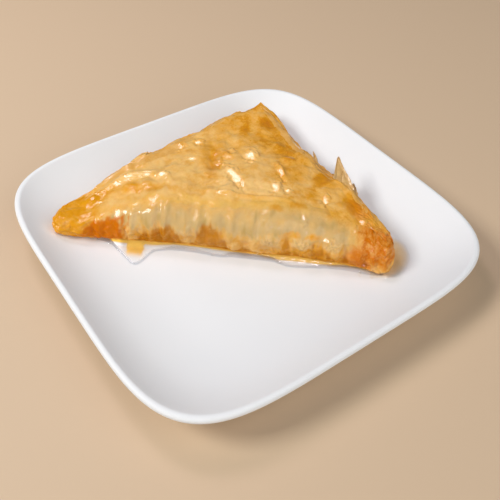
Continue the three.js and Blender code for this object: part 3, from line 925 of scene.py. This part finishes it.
def soaked(a, s, waver, fine, window):
    """Filo soaked to amber: along the foot, in the orange window and at the right end."""
    foot = 0.25 * (1 - smooth(s + 0.3 * waver, 1.6, 2.8)) * (s < 20) * smooth(a, -74, -68)
    right = 1.05 * smooth(a + waver, 62, 70) * between(s, 4, 8.5, 22, 30) * (0.8 + 0.6 * fine)
    shifted = a + 0.5 * waver
    return np.maximum.reduce([foot, window, right, 0.55 * spot(a, s, BEHIND_END), 0.95 * spot(shifted, s, END_SOAK),
                              0.95 * spot(shifted, s, END_SOAK_LOW)])


def toasted(a, s, streak, fine):
    """The dark soaked layers at the foot, under uneven arches."""
    uneven_a = a + 1.2 * noise(a / 3, s / 5, 253)
    uneven_s = s + 1.3 * noise(a / 1.3, s / 14, 251) + 1.4 * noise(a / 3.5, s / 6, 255)
    toast = np.zeros(a.shape)
    for middle, wide, high, strength in TOASTED:
        arch = high * (1 - ((uneven_a - middle) / wide) ** 2)
        toast = np.maximum(toast, strength * (1 - smooth(uneven_s - arch, -2.0, 1.0)) * smooth(arch, 0, 2))
    return toast * (1.0 + 0.25 * streak - 0.3 * fine) * smooth(s, 1.0, 2.2)


def crust_colours(a, b, s, leg_share):
    """What the filo's colour and gloss follow at each point: bake, cream, the peach with its painted highlights and
    sheen, yellow, honey, the painted shade of the pleat streaks, soak, toast and shine."""
    fine = layered(a / 2.2, s / 2.6, 215)
    waver = 2.6 * layered(a / 3.2, s / 9, 221) + 2.0 * layered(a / 12, s / 12, 223) + 1.6 * noise(a / 1.3, s / 2.6, 224)
    low, high = np.interp(a, CREAM_PLACES, CREAM_FROM), np.interp(a, CREAM_PLACES, CREAM_TO)
    lean = leaning(a, s)
    # Darker stripes of the cream between the pleats: painted shade
    streak = smooth(0.35 * noise(lean / 1.4, s / 8, 231) + 0.8 * noise(lean / 4.0, s / 9, 233), -0.1, 0.9)

    # places that several of the colours share; the pale crests of the crinkles on the lumps, in the busy place and on
    # the wrapped right end are painted highlights
    lumps, crinkles = on_lumps(a, s), lump_crinkles(a, s)
    lump_crest_highlights = smooth(crinkles, 0.5, 0.75) * lumps
    busy_crest_highlights = smooth(busy_crinkles(a, s), 0.42, 0.62) * spot(a, b, BUSY) * (s > high - 2)
    wrap_crest_highlights = smooth(wrap_crinkles(a, s), 0.7, 0.92) * smooth(a, 62, 68)
    glassy = smooth(a, 66, 72) * (1 - smooth(s + waver, 4, 8))
    gaps = (1 - smooth(lump_gap(a, s), 0.0, 0.55)) * (1 - smooth(s + waver, 10, 16)) * smooth(a + waver, -46, -38)
    gaps = gaps * smooth(layered(a / 7, s / 7, 235), -0.5, 0.5)
    window = orange_window(a, s, waver)
    foot = (1 - smooth(s + waver, low - 2.5, low + 1.0)) * (s < 20)

    bake = 0.42 + 0.42 * layered(a / 15, s / 15, 201) + 0.26 * layered(a / 5, s / 5, 211) + 0.20 * fine
    bake = bake + 0.22 * smooth(b, 50, 90) + 0.2 * smooth(b, 80, 98) - 0.35 * busy_crest_highlights
    for *place, strength in BAKED_AND_SHEEN:
        bake = bake + strength * spot(a, s, place)

    cream = fold_cream(a, s, waver, low, high) * (1 - 0.5 * gaps)
    honey = smooth(-a - waver, 53, 60) * (1 - smooth(s, 26, 32)) + 0.65 * spot(a, s, HONEY_PATCH)
    honey = honey + 0.7 * smooth(a + waver, 60, 66) * between(s, 22, 28, 30, 36)
    honey = np.maximum(honey, 0.5 * foot + 0.45 * gaps)
    for *place, strength in GOLDEN:
        golden = spot(a + 0.5 * waver, s + 0.3 * waver, place)
        honey = np.maximum(honey, strength * golden)
        cream = cream * (1 - 0.85 * golden * (s < 20))
    cream = np.maximum(cream, 0.95 * lumps) * (1 - 0.6 * lump_crest_highlights)
    honey = np.maximum(honey * (1 - 0.95 * lumps), 0.35 * (1 - smooth(crinkles, 0.3, 0.5)) * lumps)
    clouds = 0.45 * smooth(layered(a / 5.5, s / 5.5, 261), 0.1, 0.55) * smooth(s, high + 2, high + 8)
    honey = np.maximum(honey, clouds)

    # Pale patches of the top: partly pale filo and partly painted sheen of the syrup
    pale_top_and_sheen = 0.84 * smooth(layered(a / 7, s / 7, 271), -0.35, 0.5) * smooth(s, high, high + 5)
    pale_top_and_sheen = pale_top_and_sheen * (1 - smooth(b, 42, 64)) * smooth(a, -60, -50) * (1 - 0.75 * smooth(a, 14, 30))
    shoulder = 0.85 * spot(a, b, PALE_SHOULDER) * (s > high - 4)
    peach = np.maximum.reduce([pale_top_and_sheen, 0.8 * glassy, lump_crest_highlights, 0.5 * wrap_crest_highlights, shoulder, 1.25 * busy_crest_highlights])

    yellow = between(s, high - 2, high + 1.5, high + 5, high + 9) * bell(a, 8, 42)
    soak = soaked(a, s, waver, fine, window) * (1 - 0.3 * wrap_crest_highlights)
    toast = toasted(a, s, streak, fine)

    shine = (0.85 + 0.3 * layered(a / 12, s / 12, 241)) * (1 - 0.97 * window) * (1 - 0.9 * toast)
    shine = shine * (1 - 0.4 * np.clip(cream, 0, 1)) * (1 - 0.85 * soak) * (1 - 0.25 * honey) + 0.3 * glassy
    shine = shine * (1 - 0.45 * np.maximum(smooth(a, 62, 70), smooth(-a, 55, 63)))
    for dull in (0.8 * spot(a, b, DULL_HOLLOW), 0.65 * spot(a, s, DULL_FOOT), 0.85 * spot(a, s, DULL_FOLD),
                 0.35 * leg_share):
        shine = shine * (1 - dull)
    return {"bake": bake, "cream": cream, "peach": peach, "yellow": yellow, "honey": np.clip(honey, 0, 1),
            "streak": streak, "soak": soak, "toast": np.clip(toast, 0, 1), "shine": np.clip(shine, 0.04, 1)}


# The ends of the pastry are closed by smaller and smaller rings: how far they stand out, and their turns in degrees
END_CAP, CAP_TURNS = 0.9, (25, 45, 62, 76, 86)
# The least height of the crust over the plate
CRUST_LIFT = 0.12
# The UV map counts in hundreds of millimetres
MAP_SIZE = 100


def build_crust(look):
    """The folded filo: the part's form with its fine relief, its glints and its colours."""
    points, a, b, up, kinds = crust_rings()
    s = np.zeros(a.shape)
    s[:, 1:] = np.cumsum(np.linalg.norm(np.diff(points, axis=1), axis=2), 1)
    normals = surface_normals(points)

    def on(*regions):
        return np.isin(kinds, regions)[None, :] * np.ones((len(a), 1))

    front_share = on(NOSE) * (1 - smooth(normals[..., 2], 0.72, 0.97))
    top_share = np.clip(on(NOSE, TOP, TERRACE) - front_share, 0, 1)
    near_leg = smooth(leg_back(a) - b, 0.5, 5.0)
    relief = top_share * top_relief(a, b, s) * lerp(0.35, 1, near_leg)
    relief = relief + front_share * front_relief(a, s, up) + tip_relief(a, s, up) * on(NOSE, TOP, TERRACE)
    leaves = 0.24 * np.sin(TAU * (up / 0.95 + 0.25 * noise(a / 8, 0.2, 301))) + 0.3 * noise(a / 2.2, up / 0.9, 303)
    relief = relief + on(LEG) * leaves
    relief = relief * smooth(up, 0.0, np.where(b < fold_front(a) + 6, 0.8, 2.2)) * look.relief
    points = points + normals * relief[..., None]

    facing = surface_normals(points)
    facets, wet = glint_relief(points, facing, a, b, s, on(NOSE, TOP))
    points = points + facing * facets[..., None]
    points[..., 2] = np.maximum(points[..., 2], plate_top(points[..., 0], points[..., 1]) + CRUST_LIFT)

    colours = crust_colours(a, b, s, on(LEG))
    colours["shine"] = np.maximum(colours["shine"], 0.8 * wet)

    def cap(ring, side):
        centre, outward = ring.mean(0), np.append(ALONG * side, 0)
        return np.array([centre + (ring - centre) * math.cos(t) + outward * END_CAP * math.sin(t)
                         for t in np.radians(CAP_TURNS)])

    def with_ends(grid):
        count = len(CAP_TURNS)
        return np.concatenate([np.repeat(grid[:1], count, 0), grid, np.repeat(grid[-1:], count, 0)])

    rings = np.concatenate([cap(points[0], -1)[::-1], points, cap(points[-1], 1)])
    where = with_ends(np.stack([a / MAP_SIZE, s / MAP_SIZE], -1))
    obj = rings_to_tube("baklava_crust", rings, {key: with_ends(grid) for key, grid in colours.items()}, where)
    return dressed("baklava_crust", [obj], crust_material(look))


# The leaves

LEAVES_PER_LEG, LEAF_STATIONS = 13, 190
# Those at the legs begin this far from the ends of the fold, and those on top have a station this often
LEAF_INSET, SHEET_STEP = 5.0, 0.55
# Thickness of the leaves at the legs, and of those on top and of the flakes
LEG_LEAF, TOP_LEAF = 0.26, 0.22
LEAF_ANGLE, FLAKE_ANGLE = 40, 50
# The leaves on top: side, inset of the edge from the leg, first and last place along the fold
TOP_SHEETS = ((0, 1.0, -66, -2), (0, 2.5, -64, -22), (0, 4.4, -60, -30), (1, 0.8, 76, 22), (1, 2.2, 60, 12))
# How a leaf on top lies from its edge inwards: distance in, and height above the crust
SHEET_LIE = ((0.0, 0.32), (0.35, 0.24), (1.2, 0.12), (2.4, 0.03), (3.6, -0.15), (4.8, -0.5))
# Loose leaves narrower than this are made shorter and narrower still
SMALL_FLAKE = 6
FLAKE_ROWS, FLAKE_COLUMNS, FLAKE_DRYNESS = 22, 11, 0.85


def leg_face(along, share_up):
    """The back, uneven as in the part's source, the height and the room of a place on an open leg."""
    behind = leg_back(along)
    room = np.minimum(1, (behind - fold_front(along)) / FULL_REACH)
    edge = thickness_at(along, behind) - TERRACES * TERRACE_DROP * room
    pack = min(LEAF_PACKS - 1, int((1 - share_up) * LEAF_PACKS))
    uneven = LEAF_RAGGEDNESS * ragged(along, 37 * pack) + LEAF_STEP * pack
    return behind + uneven * room, edge * share_up, room


def from_ends(count, fade):
    """0 at both ends of a row of points and 1 from so many points inside them."""
    steps = np.arange(count)
    return np.clip(np.minimum(steps, steps[::-1]) / fade, 0, 1)


def build_open_leaves(look):
    """The thin leaves that end unevenly along both open legs."""
    pieces = []
    for side, start in ((0, LEFT_END + LEAF_INSET), (1, RIGHT_END - LEAF_INSET)):
        for layer in range(LEAVES_PER_LEG):
            seed = 500 + 40 * side + layer
            first = lerp(start, APEX_ALONG, 0.02 + 0.05 * float(lattice(layer, side, 7)))
            along = np.linspace(first, lerp(start, APEX_ALONG, 0.985), LEAF_STATIONS)
            back, up, room = leg_face(along, (layer + 0.55) / LEAVES_PER_LEG)
            out = 0.55 + 0.75 * noise(along / 5.0, 0.3, seed) + 0.45 * noise(along / 1.6, 0.6, seed + 3)
            out = out - 1.2 * smooth(noise(along / 2.3, 0.1, seed + 9), 0.45, 0.7)
            ends = from_ends(LEAF_STATIONS, 12)
            out = (out * ends - 0.5 * (1 - ends)) * room
            wave = 0.3 * noise(along / 7.0, 0.9, seed + 5)
            columns = []
            for t in (-2.6, -1.0, -0.2, 1.0):
                reach = t if t < 0 else out * 1.3
                curl = 0.0 if t < 0 else 0.35 * noise(along / 4.0, 0.2, seed + 7)
                columns.append(in_plate_frame(along, back + reach, np.maximum(up + wave + curl, 0.35)))
            leaf = closed_sheet("leaf", np.stack(columns, 1), LEG_LEAF)
            write_attribute(leaf, "toast", 0.15 + 0.5 * float(lattice(layer, side, 3)))
            pieces.append(leaf)
    return dressed("open_leaves", pieces, leaf_material(look), LEAF_ANGLE)


def build_top_leaves(look):
    """Leaves of the top that stop short of the legs, each a step lower than the one before it."""
    top = heights_of(bpy.data.objects["baklava_crust"])
    pieces = []
    for number, (side, inset, first, last) in enumerate(TOP_SHEETS):
        count = int(abs(last - first) / SHEET_STEP)
        along = np.linspace(first, last, count)
        behind = leg_back(along)
        slope = np.gradient(behind, along)
        outward = np.stack([-slope, np.ones(count)], 1) / np.hypot(slope, 1)[:, None]
        edge = inset + 0.5 * noise(along / 4.5, 0.2, 700 + number) + 0.35 * noise(along / 1.5, 0.5, 720 + number)
        grid = np.zeros((count, len(SHEET_LIE), 3))
        for column, (into, lift) in enumerate(SHEET_LIE):
            grid[:, column] = in_plate_frame(along - outward[:, 0] * (edge + into),
                                             behind - outward[:, 1] * (edge + into), 0.0)
            for point in grid[:, column]:
                found = top(point[0], point[1])
                point[2] = (point[2] + 8 if found is None else found) + lift
        grid[..., 2] = grid[..., 2] - (1 - from_ends(count, 8)[:, None]) * 0.5
        for _ in range(2):
            grid[1:-1, :, 2] = (grid[:-2, :, 2] + 2 * grid[1:-1, :, 2] + grid[2:, :, 2]) / 4
        leaf = closed_sheet("leaf", grid, TOP_LEAF)
        scorched = 0.1 + 0.06 * number + 0.75 * side * bell(along, 49, 5.5) * (0.8 + 0.6 * noise(along / 1.6, 0.4, 741))
        shade = np.resize(np.repeat(scorched, len(SHEET_LIE)), len(leaf.data.vertices))
        write_attribute(leaf, "toast", np.clip(shade, 0, 1))
        pieces.append(leaf)
    return dressed("top_leaves", pieces, leaf_material(look), LEAF_ANGLE)


def build_flakes(look):
    """Loose shards of leaf that stick out of the legs."""
    pieces = []
    for number, (root, tip, width) in enumerate(LOOSE_LEAVES):
        start, end = in_plate_frame(*root), in_plate_frame(*tip)
        if width < SMALL_FLAKE:
            end, width = lerp(start, end, 0.8), 0.55 * width
        axis = unit(end - start)
        side = unit(np.array([axis[1], -axis[0], 0]))
        lifted = np.cross(side, axis)
        share = np.linspace(0, 1, FLAKE_ROWS)[:, None]
        across = np.linspace(-1, 1, FLAKE_COLUMNS)[None, :]
        half = width / 2 * (1 - 0.93 * share ** 1.35)
        torn = 1 + 0.22 * noise(share * 7, across * 1.5 + number, 811)
        pleat = 0.24 * np.sin(across * 5.5 + 2.2 * share + number) + 0.12 * np.sin(across * 14 + number)
        bow = 1.2 * np.sin(math.pi * share) + 0.5 * across ** 2
        sharp = np.minimum(share + 0.07 * noise(across * 2.7, number + 0.4, 823) * share, 1.02)
        up = bow + pleat * (1 - 0.5 * share)
        out = half * across * torn
        grid = start + (end - start) * sharp[..., None] + side * out[..., None] + lifted * up[..., None]
        flake = closed_sheet("flake", grid, TOP_LEAF)
        shade = 0.3 + 0.35 * noise(np.arange(len(flake.data.vertices)) / 9.0, 0.2, 831)
        write_attribute(flake, "toast", np.clip(shade, 0, 1))
        write_attribute(flake, "dry", FLAKE_DRYNESS)
        pieces.append(flake)
    return dressed("loose_flakes", pieces, leaf_material(look), FLAKE_ANGLE)


# The syrup

# How far the film reaches in front of the fold: place along it, and reach
SYRUP_EDGE = (
    (-57, -0.6), (-54, 0.1), (-50, 1.6), (-45.6, 5.0), (-40.1, 10.2), (-37, 13.2), (-34.5, 13.7), (-32.4, 11.4),
    (-30.6, 7.0), (-28.6, 3.7), (-21.4, 1.9), (-12.8, 1.8), (-4.5, 2.2), (2.8, 2.6), (8.4, 1.5), (17, 1.4),
    (26.5, 1.7), (30.9, 3.1), (35.2, 4.5), (45.4, 3.6), (55.6, 2.2), (61.7, 1.5), (67.7, 1.0), (74, 0.7), (79, -0.4),
)
# How far in front of the fold it is deep and golden: place along it, and reach
GOLDEN_BAND = ((-50, 2.2), (-28, 2.0), (-20, 1.3), (20, 1.3), (28, 2.6), (60, 2.6), (72, 1.6))
FILM_STATIONS, FILM_ANGLE = 420, 60
# Its foot sinks into the glaze, its rim is rounded over a width, and it climbs the fold
FILM_SINK, FILM_BASE, RIM_WIDTH, FILM_CLIMB = 0.05, 0.03, 1.1, 2.3
# It goes in under the fold by this much, and its outline is softened over this many stations and this width
FILM_INNER, BLUR_STATIONS, BLUR_WIDTH = 3.2, 9, 1.3
# A painted highlight beside the tongue, where the film's white body is stronger, as a spot by distance in front of the
# fold
MILKY_HIGHLIGHT = (-47.0, 3.2, 4.5, 2.6, 40)
# Drops that stand at the foot of the fold: along, in front of it, half length, half width, height and depth of tint
DROPS = (
    (-49.6, -2.6, 1.0, 1.7, 1.6, 0.02), (-0.5, -2.6, 1.1, 1.0, 1.3, 0.02), (30.5, -2.8, 1.3, 1.0, 1.1, 0.02),
    (68.5, -2.6, 0.9, 1.2, 1.6, 0.05), (74.0, -2.0, 0.9, 1.6, 2.4, 0.1),
)
# The thin warm syrup round the right end, tinted darker next to the end as painted shadow: along, back, half length,
# half width and turn; its height and roughness
END_POOL_AND_SHADOW, POOL_HEIGHT, POOL_ROUGH = (79.0, 7.5, 13.0, 15.0, -12), 0.25, 0.08


def build_syrup(look):
    """The film of syrup round the foot of the fold, with a rounded rim, and the tongue that has run out of it."""
    edge_a, edge_r = np.array(SYRUP_EDGE).T
    along = np.linspace(edge_a[0], edge_a[-1], FILM_STATIONS)
    step = along[1] - along[0]
    reach = np.interp(along, edge_a, edge_r)
    kernel = np.exp(-((np.arange(-BLUR_STATIONS, BLUR_STATIONS + 1) * step / BLUR_WIDTH) ** 2))
    reach = np.convolve(np.pad(reach, BLUR_STATIONS, mode="edge"), kernel / kernel.sum(), "valid")
    reach = reach + 0.18 * noise(along / 5.0, 0.4, 901)
    inner = fold_front(along) + FILM_INNER
    outer = fold_front(along) - NOSE_OVERHANG * 0.4 - np.maximum(reach, -0.6)
    shares = np.concatenate([np.linspace(0, 0.22, 9) ** 1.5 * 0.22 ** -0.5, np.linspace(0.26, 1, 17)])
    b = lerp(outer[:, None], inner[:, None], shares[None, :])
    a = along[:, None] + 0 * b
    places = in_plate_frame(a, b, 0.0)
    rim = np.concatenate([places[:, 0], places[-1:, -1], places[:1, -1]])
    away = np.min(np.linalg.norm(places[:, :, None, :2] - rim[None, None, ::2, :2], axis=3), 2)
    away = np.minimum(away, np.minimum(along - along[0], along[-1] - along)[:, None])
    round_off = np.sqrt(np.clip(1 - (1 - np.clip(away / RIM_WIDTH, 0, 1)) ** 2, 0, 1))
    tongue = np.exp(-(((a + 37) / 7) ** 2)) * smooth(-b, 1, 6)
    from_fold = b - fold_front(a)
    band = np.interp(along, *np.array(GOLDEN_BAND).T)[:, None]
    climb = FILM_CLIMB * smooth(from_fold, -band - 1.0, -0.4)
    height = round_off * (look.film_depth / MM + 0.1 * tongue + climb + 0.1 * noise(a / 4, b / 4, 903))
    plate = plate_top(places[..., 0], places[..., 1])
    upper, lower = places.copy(), places.copy()
    upper[..., 2] = plate + FILM_BASE + height
    lower[..., 2] = plate - FILM_SINK
    beside = np.abs(a + 38.2 + 0.12 * from_fold) / 4.6 + 0.1 * noise(a / 2, from_fold / 2, 905)
    core = (1 - smooth(beside, 0.6, 1.05)) * (1 - smooth(-from_fold, 3.0, 10.5))
    deep = np.clip(np.maximum(0.75 * smooth(from_fold, -band, 1.0 - band), 0.76 * core), 0, 1)
    # In these values, the white body of the film is painted sheen, and the grey of its rim is painted shade
    values = {"deep": deep, "cloudy": 1 + 1.8 * spot(a, -from_fold, MILKY_HIGHLIGHT), "edge": 1 - smooth(away, 0.6, 1.5)}
    obj = rings_to_tube("syrup_film", np.concatenate([upper, lower[:, ::-1]], 1),
                        {key: np.concatenate([grid, grid[:, ::-1]], 1) for key, grid in values.items()})
    return dressed("syrup_film", [obj], syrup_material(look), FILM_ANGLE)


def dome(place, height, seed, rough=0.18):
    """A low rounded lump on the plate, shaped from a ball; place is a spot's, and rough makes its sides uneven."""
    middle_a, middle_b, length, width, turn = place
    nothing_selected()
    bpy.ops.mesh.primitive_ico_sphere_add(subdivisions=5, radius=1.0)
    obj = added("drop")
    x, y, z = points_of(obj).T
    swell = 1 + rough * noise(x * 1.7 + seed, y * 1.7 + z, seed)
    da, db = turned(x * length * swell, y * width * swell, -turn)
    up = np.where(z > 0, np.abs(z) ** 0.8 * height * swell, z * 0.3)
    place_points(obj, in_plate_frame(middle_a + da, middle_b + db, up - RESTING_GAP + 0.05))
    return obj


def build_drops(look):
    """Drops of clear syrup at the foot of the fold, and the thin pool round its right end, whose tint is partly painted
    shadow.
    """
    pieces = []
    for number, (along, ahead, length, width, height, tint) in enumerate(DROPS):
        pieces.append(dome((along, float(fold_front(along)) + ahead, length, width, 0), height, number))
        write_attribute(pieces[-1], "deep", tint)
    along, back, length, width, turn = END_POOL_AND_SHADOW
    pool = dome(END_POOL_AND_SHADOW, POOL_HEIGHT, 7, POOL_ROUGH)
    off = points_of(pool)[:, :2] / MM - in_plate_frame(along, back, 0.0)[:2]
    da, db = turned(off @ ALONG, off @ BACK, turn)
    away = np.hypot(da / length, db / width)
    # The pool's tint, deepest next to the end, is partly syrup and partly painted shadow
    write_attribute(pool, "deep", 0.3 * (1 - smooth(away, 0.75, 1.0)) + 0.2 * (1 - smooth(away, 0.4, 0.85)))
    return dressed("syrup_drops", pieces + [pool], syrup_material(look))


# The stage

FLOOR_SIZE, FLOOR_CUTS = 5.0, 24
ROOM_COLOUR = (0.96, 0.98, 1.0, 1)
# The soft lights, of which the first, broad and from the left, casts the shadows: name, where it shines from,
# distance and size in metres, the setting with its power, and colour
LIGHTS = (
    ("window_light", (-268, -601, 614), 1.2, 0.38, "window_power", (0.97, 0.99, 0.985)),
    ("glint_light", GLINT_AT, 0.9, 0.1, "glint_power", (0.96, 0.76, 1.0)),
    ("glint_halo", GLINT_AT, 0.95, 0.3, "halo_power", (1.0, 0.93, 0.97)),
    ("near_light", NEAR_AT, 1.5, 0.15, "near_power", (0.95, 0.83, 1.0)),
    ("front_light", (0.86, 0.1, 0.52), 2.5, 4.2, "front_power", (0.96, 0.99, 0.985)),
)


def build_stage(look):
    """Plain pale floor, soft lights and the photograph's camera."""
    nothing_selected()
    bpy.ops.mesh.primitive_grid_add(x_subdivisions=FLOOR_CUTS, y_subdivisions=FLOOR_CUTS, size=FLOOR_SIZE)
    floor = added("pale_floor")
    w = Wiring("pale_floor")
    cloud = w.noise(w.places(), 3.0)
    colour = w.mixed(cloud, look.floor_colour, tuple(c * 0.97 for c in look.floor_colour))
    floor.data.materials.append(w.finished(w.add("BsdfPrincipled", {"Base Color": colour, "Roughness": 0.6})))

    for name, direction, away, size, setting, colour in LIGHTS:
        nothing_selected()
        place = Vector(direction).normalized() * away
        bpy.ops.object.light_add(type="AREA", location=place)
        light = bpy.context.object
        light.name = name
        light.data.shape = "RECTANGLE"
        light.data.size = light.data.size_y = size
        light.data.energy = getattr(look, setting)
        light.data.color = colour
        light.rotation_euler = place.to_track_quat("Z", "Y").to_euler()
    world = bpy.data.worlds.new("soft_room")
    world.use_nodes = True
    background = world.node_tree.nodes["Background"]
    background.inputs["Color"].default_value = ROOM_COLOUR
    background.inputs["Strength"].default_value = look.room_light
    bpy.context.scene.world = world

    bpy.ops.object.camera_add()
    camera = bpy.context.object
    camera.name = "photo_camera"
    turn = Matrix([Vector(v) for v in (CAMERA_RIGHT, CAMERA_UP, CAMERA_BACK)]).transposed().to_4x4()
    camera.matrix_world = Matrix.Translation(Vector(CAMERA_AT) * MM) @ turn
    camera.data.sensor_width = SENSOR_WIDTH
    camera.data.lens = CAMERA_LENS
    camera.data.clip_start = CLIP_START
    bpy.context.scene.camera = camera
    bpy.context.scene.view_settings.view_transform = "Standard"


# Operators and settings

def colour_setting(name, description, default):
    return FloatVectorProperty(name=name, description=description, default=default, subtype="COLOR",
                               size=3, min=0.0, max=1.0)


def power_setting(name, description, default):
    return FloatProperty(name=name, description=description, default=default, min=0, unit="POWER")


class BaklavaPlateSettings(bpy.types.PropertyGroup):
    glaze_colour: colour_setting("Glaze", "Colour of the porcelain's glaze", (0.86, 0.86, 0.86))
    glaze_shade: colour_setting("Glaze shade", "Its slightly greyer clouds", (0.84, 0.842, 0.848))


class BaklavaPastrySettings(bpy.types.PropertyGroup):
    gold_light: colour_setting("Light gold", "Lightly baked filo", (0.92, 0.56, 0.18))
    gold_deep: colour_setting("Deep gold", "Well baked filo", (0.80, 0.34, 0.006))
    gold_dark: colour_setting("Dark gold", "The darkest baked spots", (0.56, 0.18, 0.006))
    yellow: colour_setting("Yellow", "The glassy band over the fold", (0.84, 0.50, 0.10))
    # Peach is pale filo, and also the colour of the painted highlights and painted sheen on the top
    peach: colour_setting("Peach", "Pale filo under the syrup on top", (0.93, 0.57, 0.20))
    cream: colour_setting("Cream", "Pale filo down the fold", (0.64, 0.43, 0.18))
    # Cream shade: the painted shade between the pleats of the fold
    cream_shade: colour_setting("Cream shade", "Between the pleats of the fold", (0.54, 0.345, 0.11))
    honey: colour_setting("Honey", "The clear golden left end", (0.74, 0.305, 0.003))
    amber: colour_setting("Amber", "Filo soaked with syrup", (0.62, 0.16, 0.0))
    brown: colour_setting("Brown", "Soaked layers seen at the foot", (0.52, 0.175, 0.002))
    leaf_pale: colour_setting("Pale leaf", "Thin leaves at the legs", (0.90, 0.52, 0.15))
    leaf_gold: colour_setting("Gold leaf", "Baked parts of those leaves", (0.80, 0.38, 0.05))
    leaf_dry: colour_setting("Dry leaf", "Thin flakes without syrup", (0.67, 0.445, 0.18))
    leaf_brown: colour_setting("Brown leaf", "Their darkest parts", (0.48, 0.22, 0.05))
    relief: FloatProperty(name="Relief", description="Strength of the modelled wrinkles", default=1.0, min=0, max=2)
    fine_relief: FloatProperty(name="Fine relief", description="Strength of the finest wrinkles", default=0.6,
                               min=0, max=1)
    syrup_roughness: FloatProperty(name="Syrup roughness", description="Roughness of the wet coat", default=0.16,
                                   min=0, max=1)


class BaklavaSyrupSettings(bpy.types.PropertyGroup):
    syrup_tint: colour_setting("Syrup", "What deep syrup lets through", (1.0, 0.72, 0.28))
    syrup_body: colour_setting("Thick syrup", "What deep syrup scatters back", (1.0, 0.60, 0.11))
    film_depth: FloatProperty(name="Film depth", description="Depth of the syrup on the plate", default=0.0005,
                              min=0.0001, max=0.002, subtype="DISTANCE", unit="LENGTH")


class BaklavaStageSettings(bpy.types.PropertyGroup):
    floor_colour: colour_setting("Floor", "Colour of the plain floor", (0.67, 0.495, 0.33))
    window_power: power_setting("Window light", "Power of the broad light from the left", 9.1)
    glint_power: power_setting("Glint light", "Power of the small light behind the glints", 0.37)
    halo_power: power_setting("Glint halo", "Power of the softer light round it", 1.45)
    near_power: power_setting("Near light", "Power of the small light over the camera", 1.0)
    front_power: power_setting("Front light", "Power of the broad light beside the camera", 68.0)
    room_light: FloatProperty(name="Room light", description="Strength of the even light all round", default=0.08,
                              min=0)


def finish_piece(obj, node=None):
    if obj.type != "MESH" or not len(obj.data.polygons):
        raise RuntimeError(f"{obj.name} has no faces")
    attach(obj, "root")
    if node:
        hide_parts(node)


class BAKLAVA_OT_plate(bpy.types.Operator):
    """Add the glazed porcelain plate"""
    bl_idname = "baklava.plate"
    bl_label = "Plate"
    bl_options = {"REGISTER", "UNDO"}

    def execute(self, context):
        finish_piece(build_plate(context.scene.baklava_plate), "plate")
        return {"FINISHED"}


class BAKLAVA_OT_crust(bpy.types.Operator):
    """Add the folded filo with its wrinkled, glazed top"""
    bl_idname = "baklava.crust"
    bl_label = "Folded filo"
    bl_options = {"REGISTER", "UNDO"}

    def execute(self, context):
        finish_piece(build_crust(context.scene.baklava_pastry), "baklava")
        return {"FINISHED"}


class BAKLAVA_OT_leaves(bpy.types.Operator):
    """Add the thin leaves at the open legs and on top, and the loose flakes"""
    bl_idname = "baklava.leaves"
    bl_label = "Open leaves and flakes"
    bl_options = {"REGISTER", "UNDO"}

    def execute(self, context):
        look = context.scene.baklava_pastry
        for build in (build_open_leaves, build_top_leaves, build_flakes):
            finish_piece(build(look), None)
        return {"FINISHED"}


class BAKLAVA_OT_syrup(bpy.types.Operator):
    """Add the film of syrup on the plate, its drops and the pool at the right end"""
    bl_idname = "baklava.syrup"
    bl_label = "Syrup"
    bl_options = {"REGISTER", "UNDO"}

    def execute(self, context):
        look = context.scene.baklava_syrup
        for build in (build_syrup, build_drops):
            finish_piece(build(look), None)
        return {"FINISHED"}


class BAKLAVA_OT_stage(bpy.types.Operator):
    """Add the plain floor, the soft lights and the photograph's camera"""
    bl_idname = "baklava.stage"
    bl_label = "Stage"
    bl_options = {"REGISTER", "UNDO"}

    def execute(self, context):
        build_stage(context.scene.baklava_stage)
        return {"FINISHED"}


PANEL_ROWS = (
    ("Plate", "baklava_plate", ("baklava.plate",)),
    ("Pastry", "baklava_pastry", ("baklava.crust", "baklava.leaves")),
    ("Syrup", "baklava_syrup", ("baklava.syrup",)),
    ("Stage", "baklava_stage", ("baklava.stage",)),
)


class BAKLAVA_PT_panel(bpy.types.Panel):
    """Lists the pieces of the plate of baklava"""
    bl_idname = "BAKLAVA_PT_panel"
    bl_label = "Plate of baklava"
    bl_space_type = "VIEW_3D"
    bl_region_type = "UI"
    bl_category = "Baklava"

    def draw(self, context):
        for title, group, operators in PANEL_ROWS:
            box = self.layout.box()
            box.label(text=title)
            settings = getattr(context.scene, group)
            for key in settings.__annotations__:
                box.prop(settings, key)
            for operator in operators:
                box.operator(operator)


SETTINGS = (("baklava_plate", BaklavaPlateSettings), ("baklava_pastry", BaklavaPastrySettings),
            ("baklava_syrup", BaklavaSyrupSettings), ("baklava_stage", BaklavaStageSettings))
CLASSES = (*(group for _, group in SETTINGS), BAKLAVA_OT_plate, BAKLAVA_OT_crust, BAKLAVA_OT_leaves,
           BAKLAVA_OT_syrup, BAKLAVA_OT_stage, BAKLAVA_PT_panel)


def register():
    for kind in CLASSES:
        bpy.utils.register_class(kind)
    for name, group in SETTINGS:
        setattr(bpy.types.Scene, name, PointerProperty(type=group))


def unregister():
    for name, _ in SETTINGS:
        delattr(bpy.types.Scene, name)
    for kind in reversed(CLASSES):
        bpy.utils.unregister_class(kind)


def main():
    register()
    bpy.ops.baklava.plate()
    bpy.ops.baklava.crust()
    bpy.ops.baklava.leaves()
    bpy.ops.baklava.syrup()
    bpy.ops.baklava.stage()
    nothing_selected()


if __name__ == "__main__":
    main()
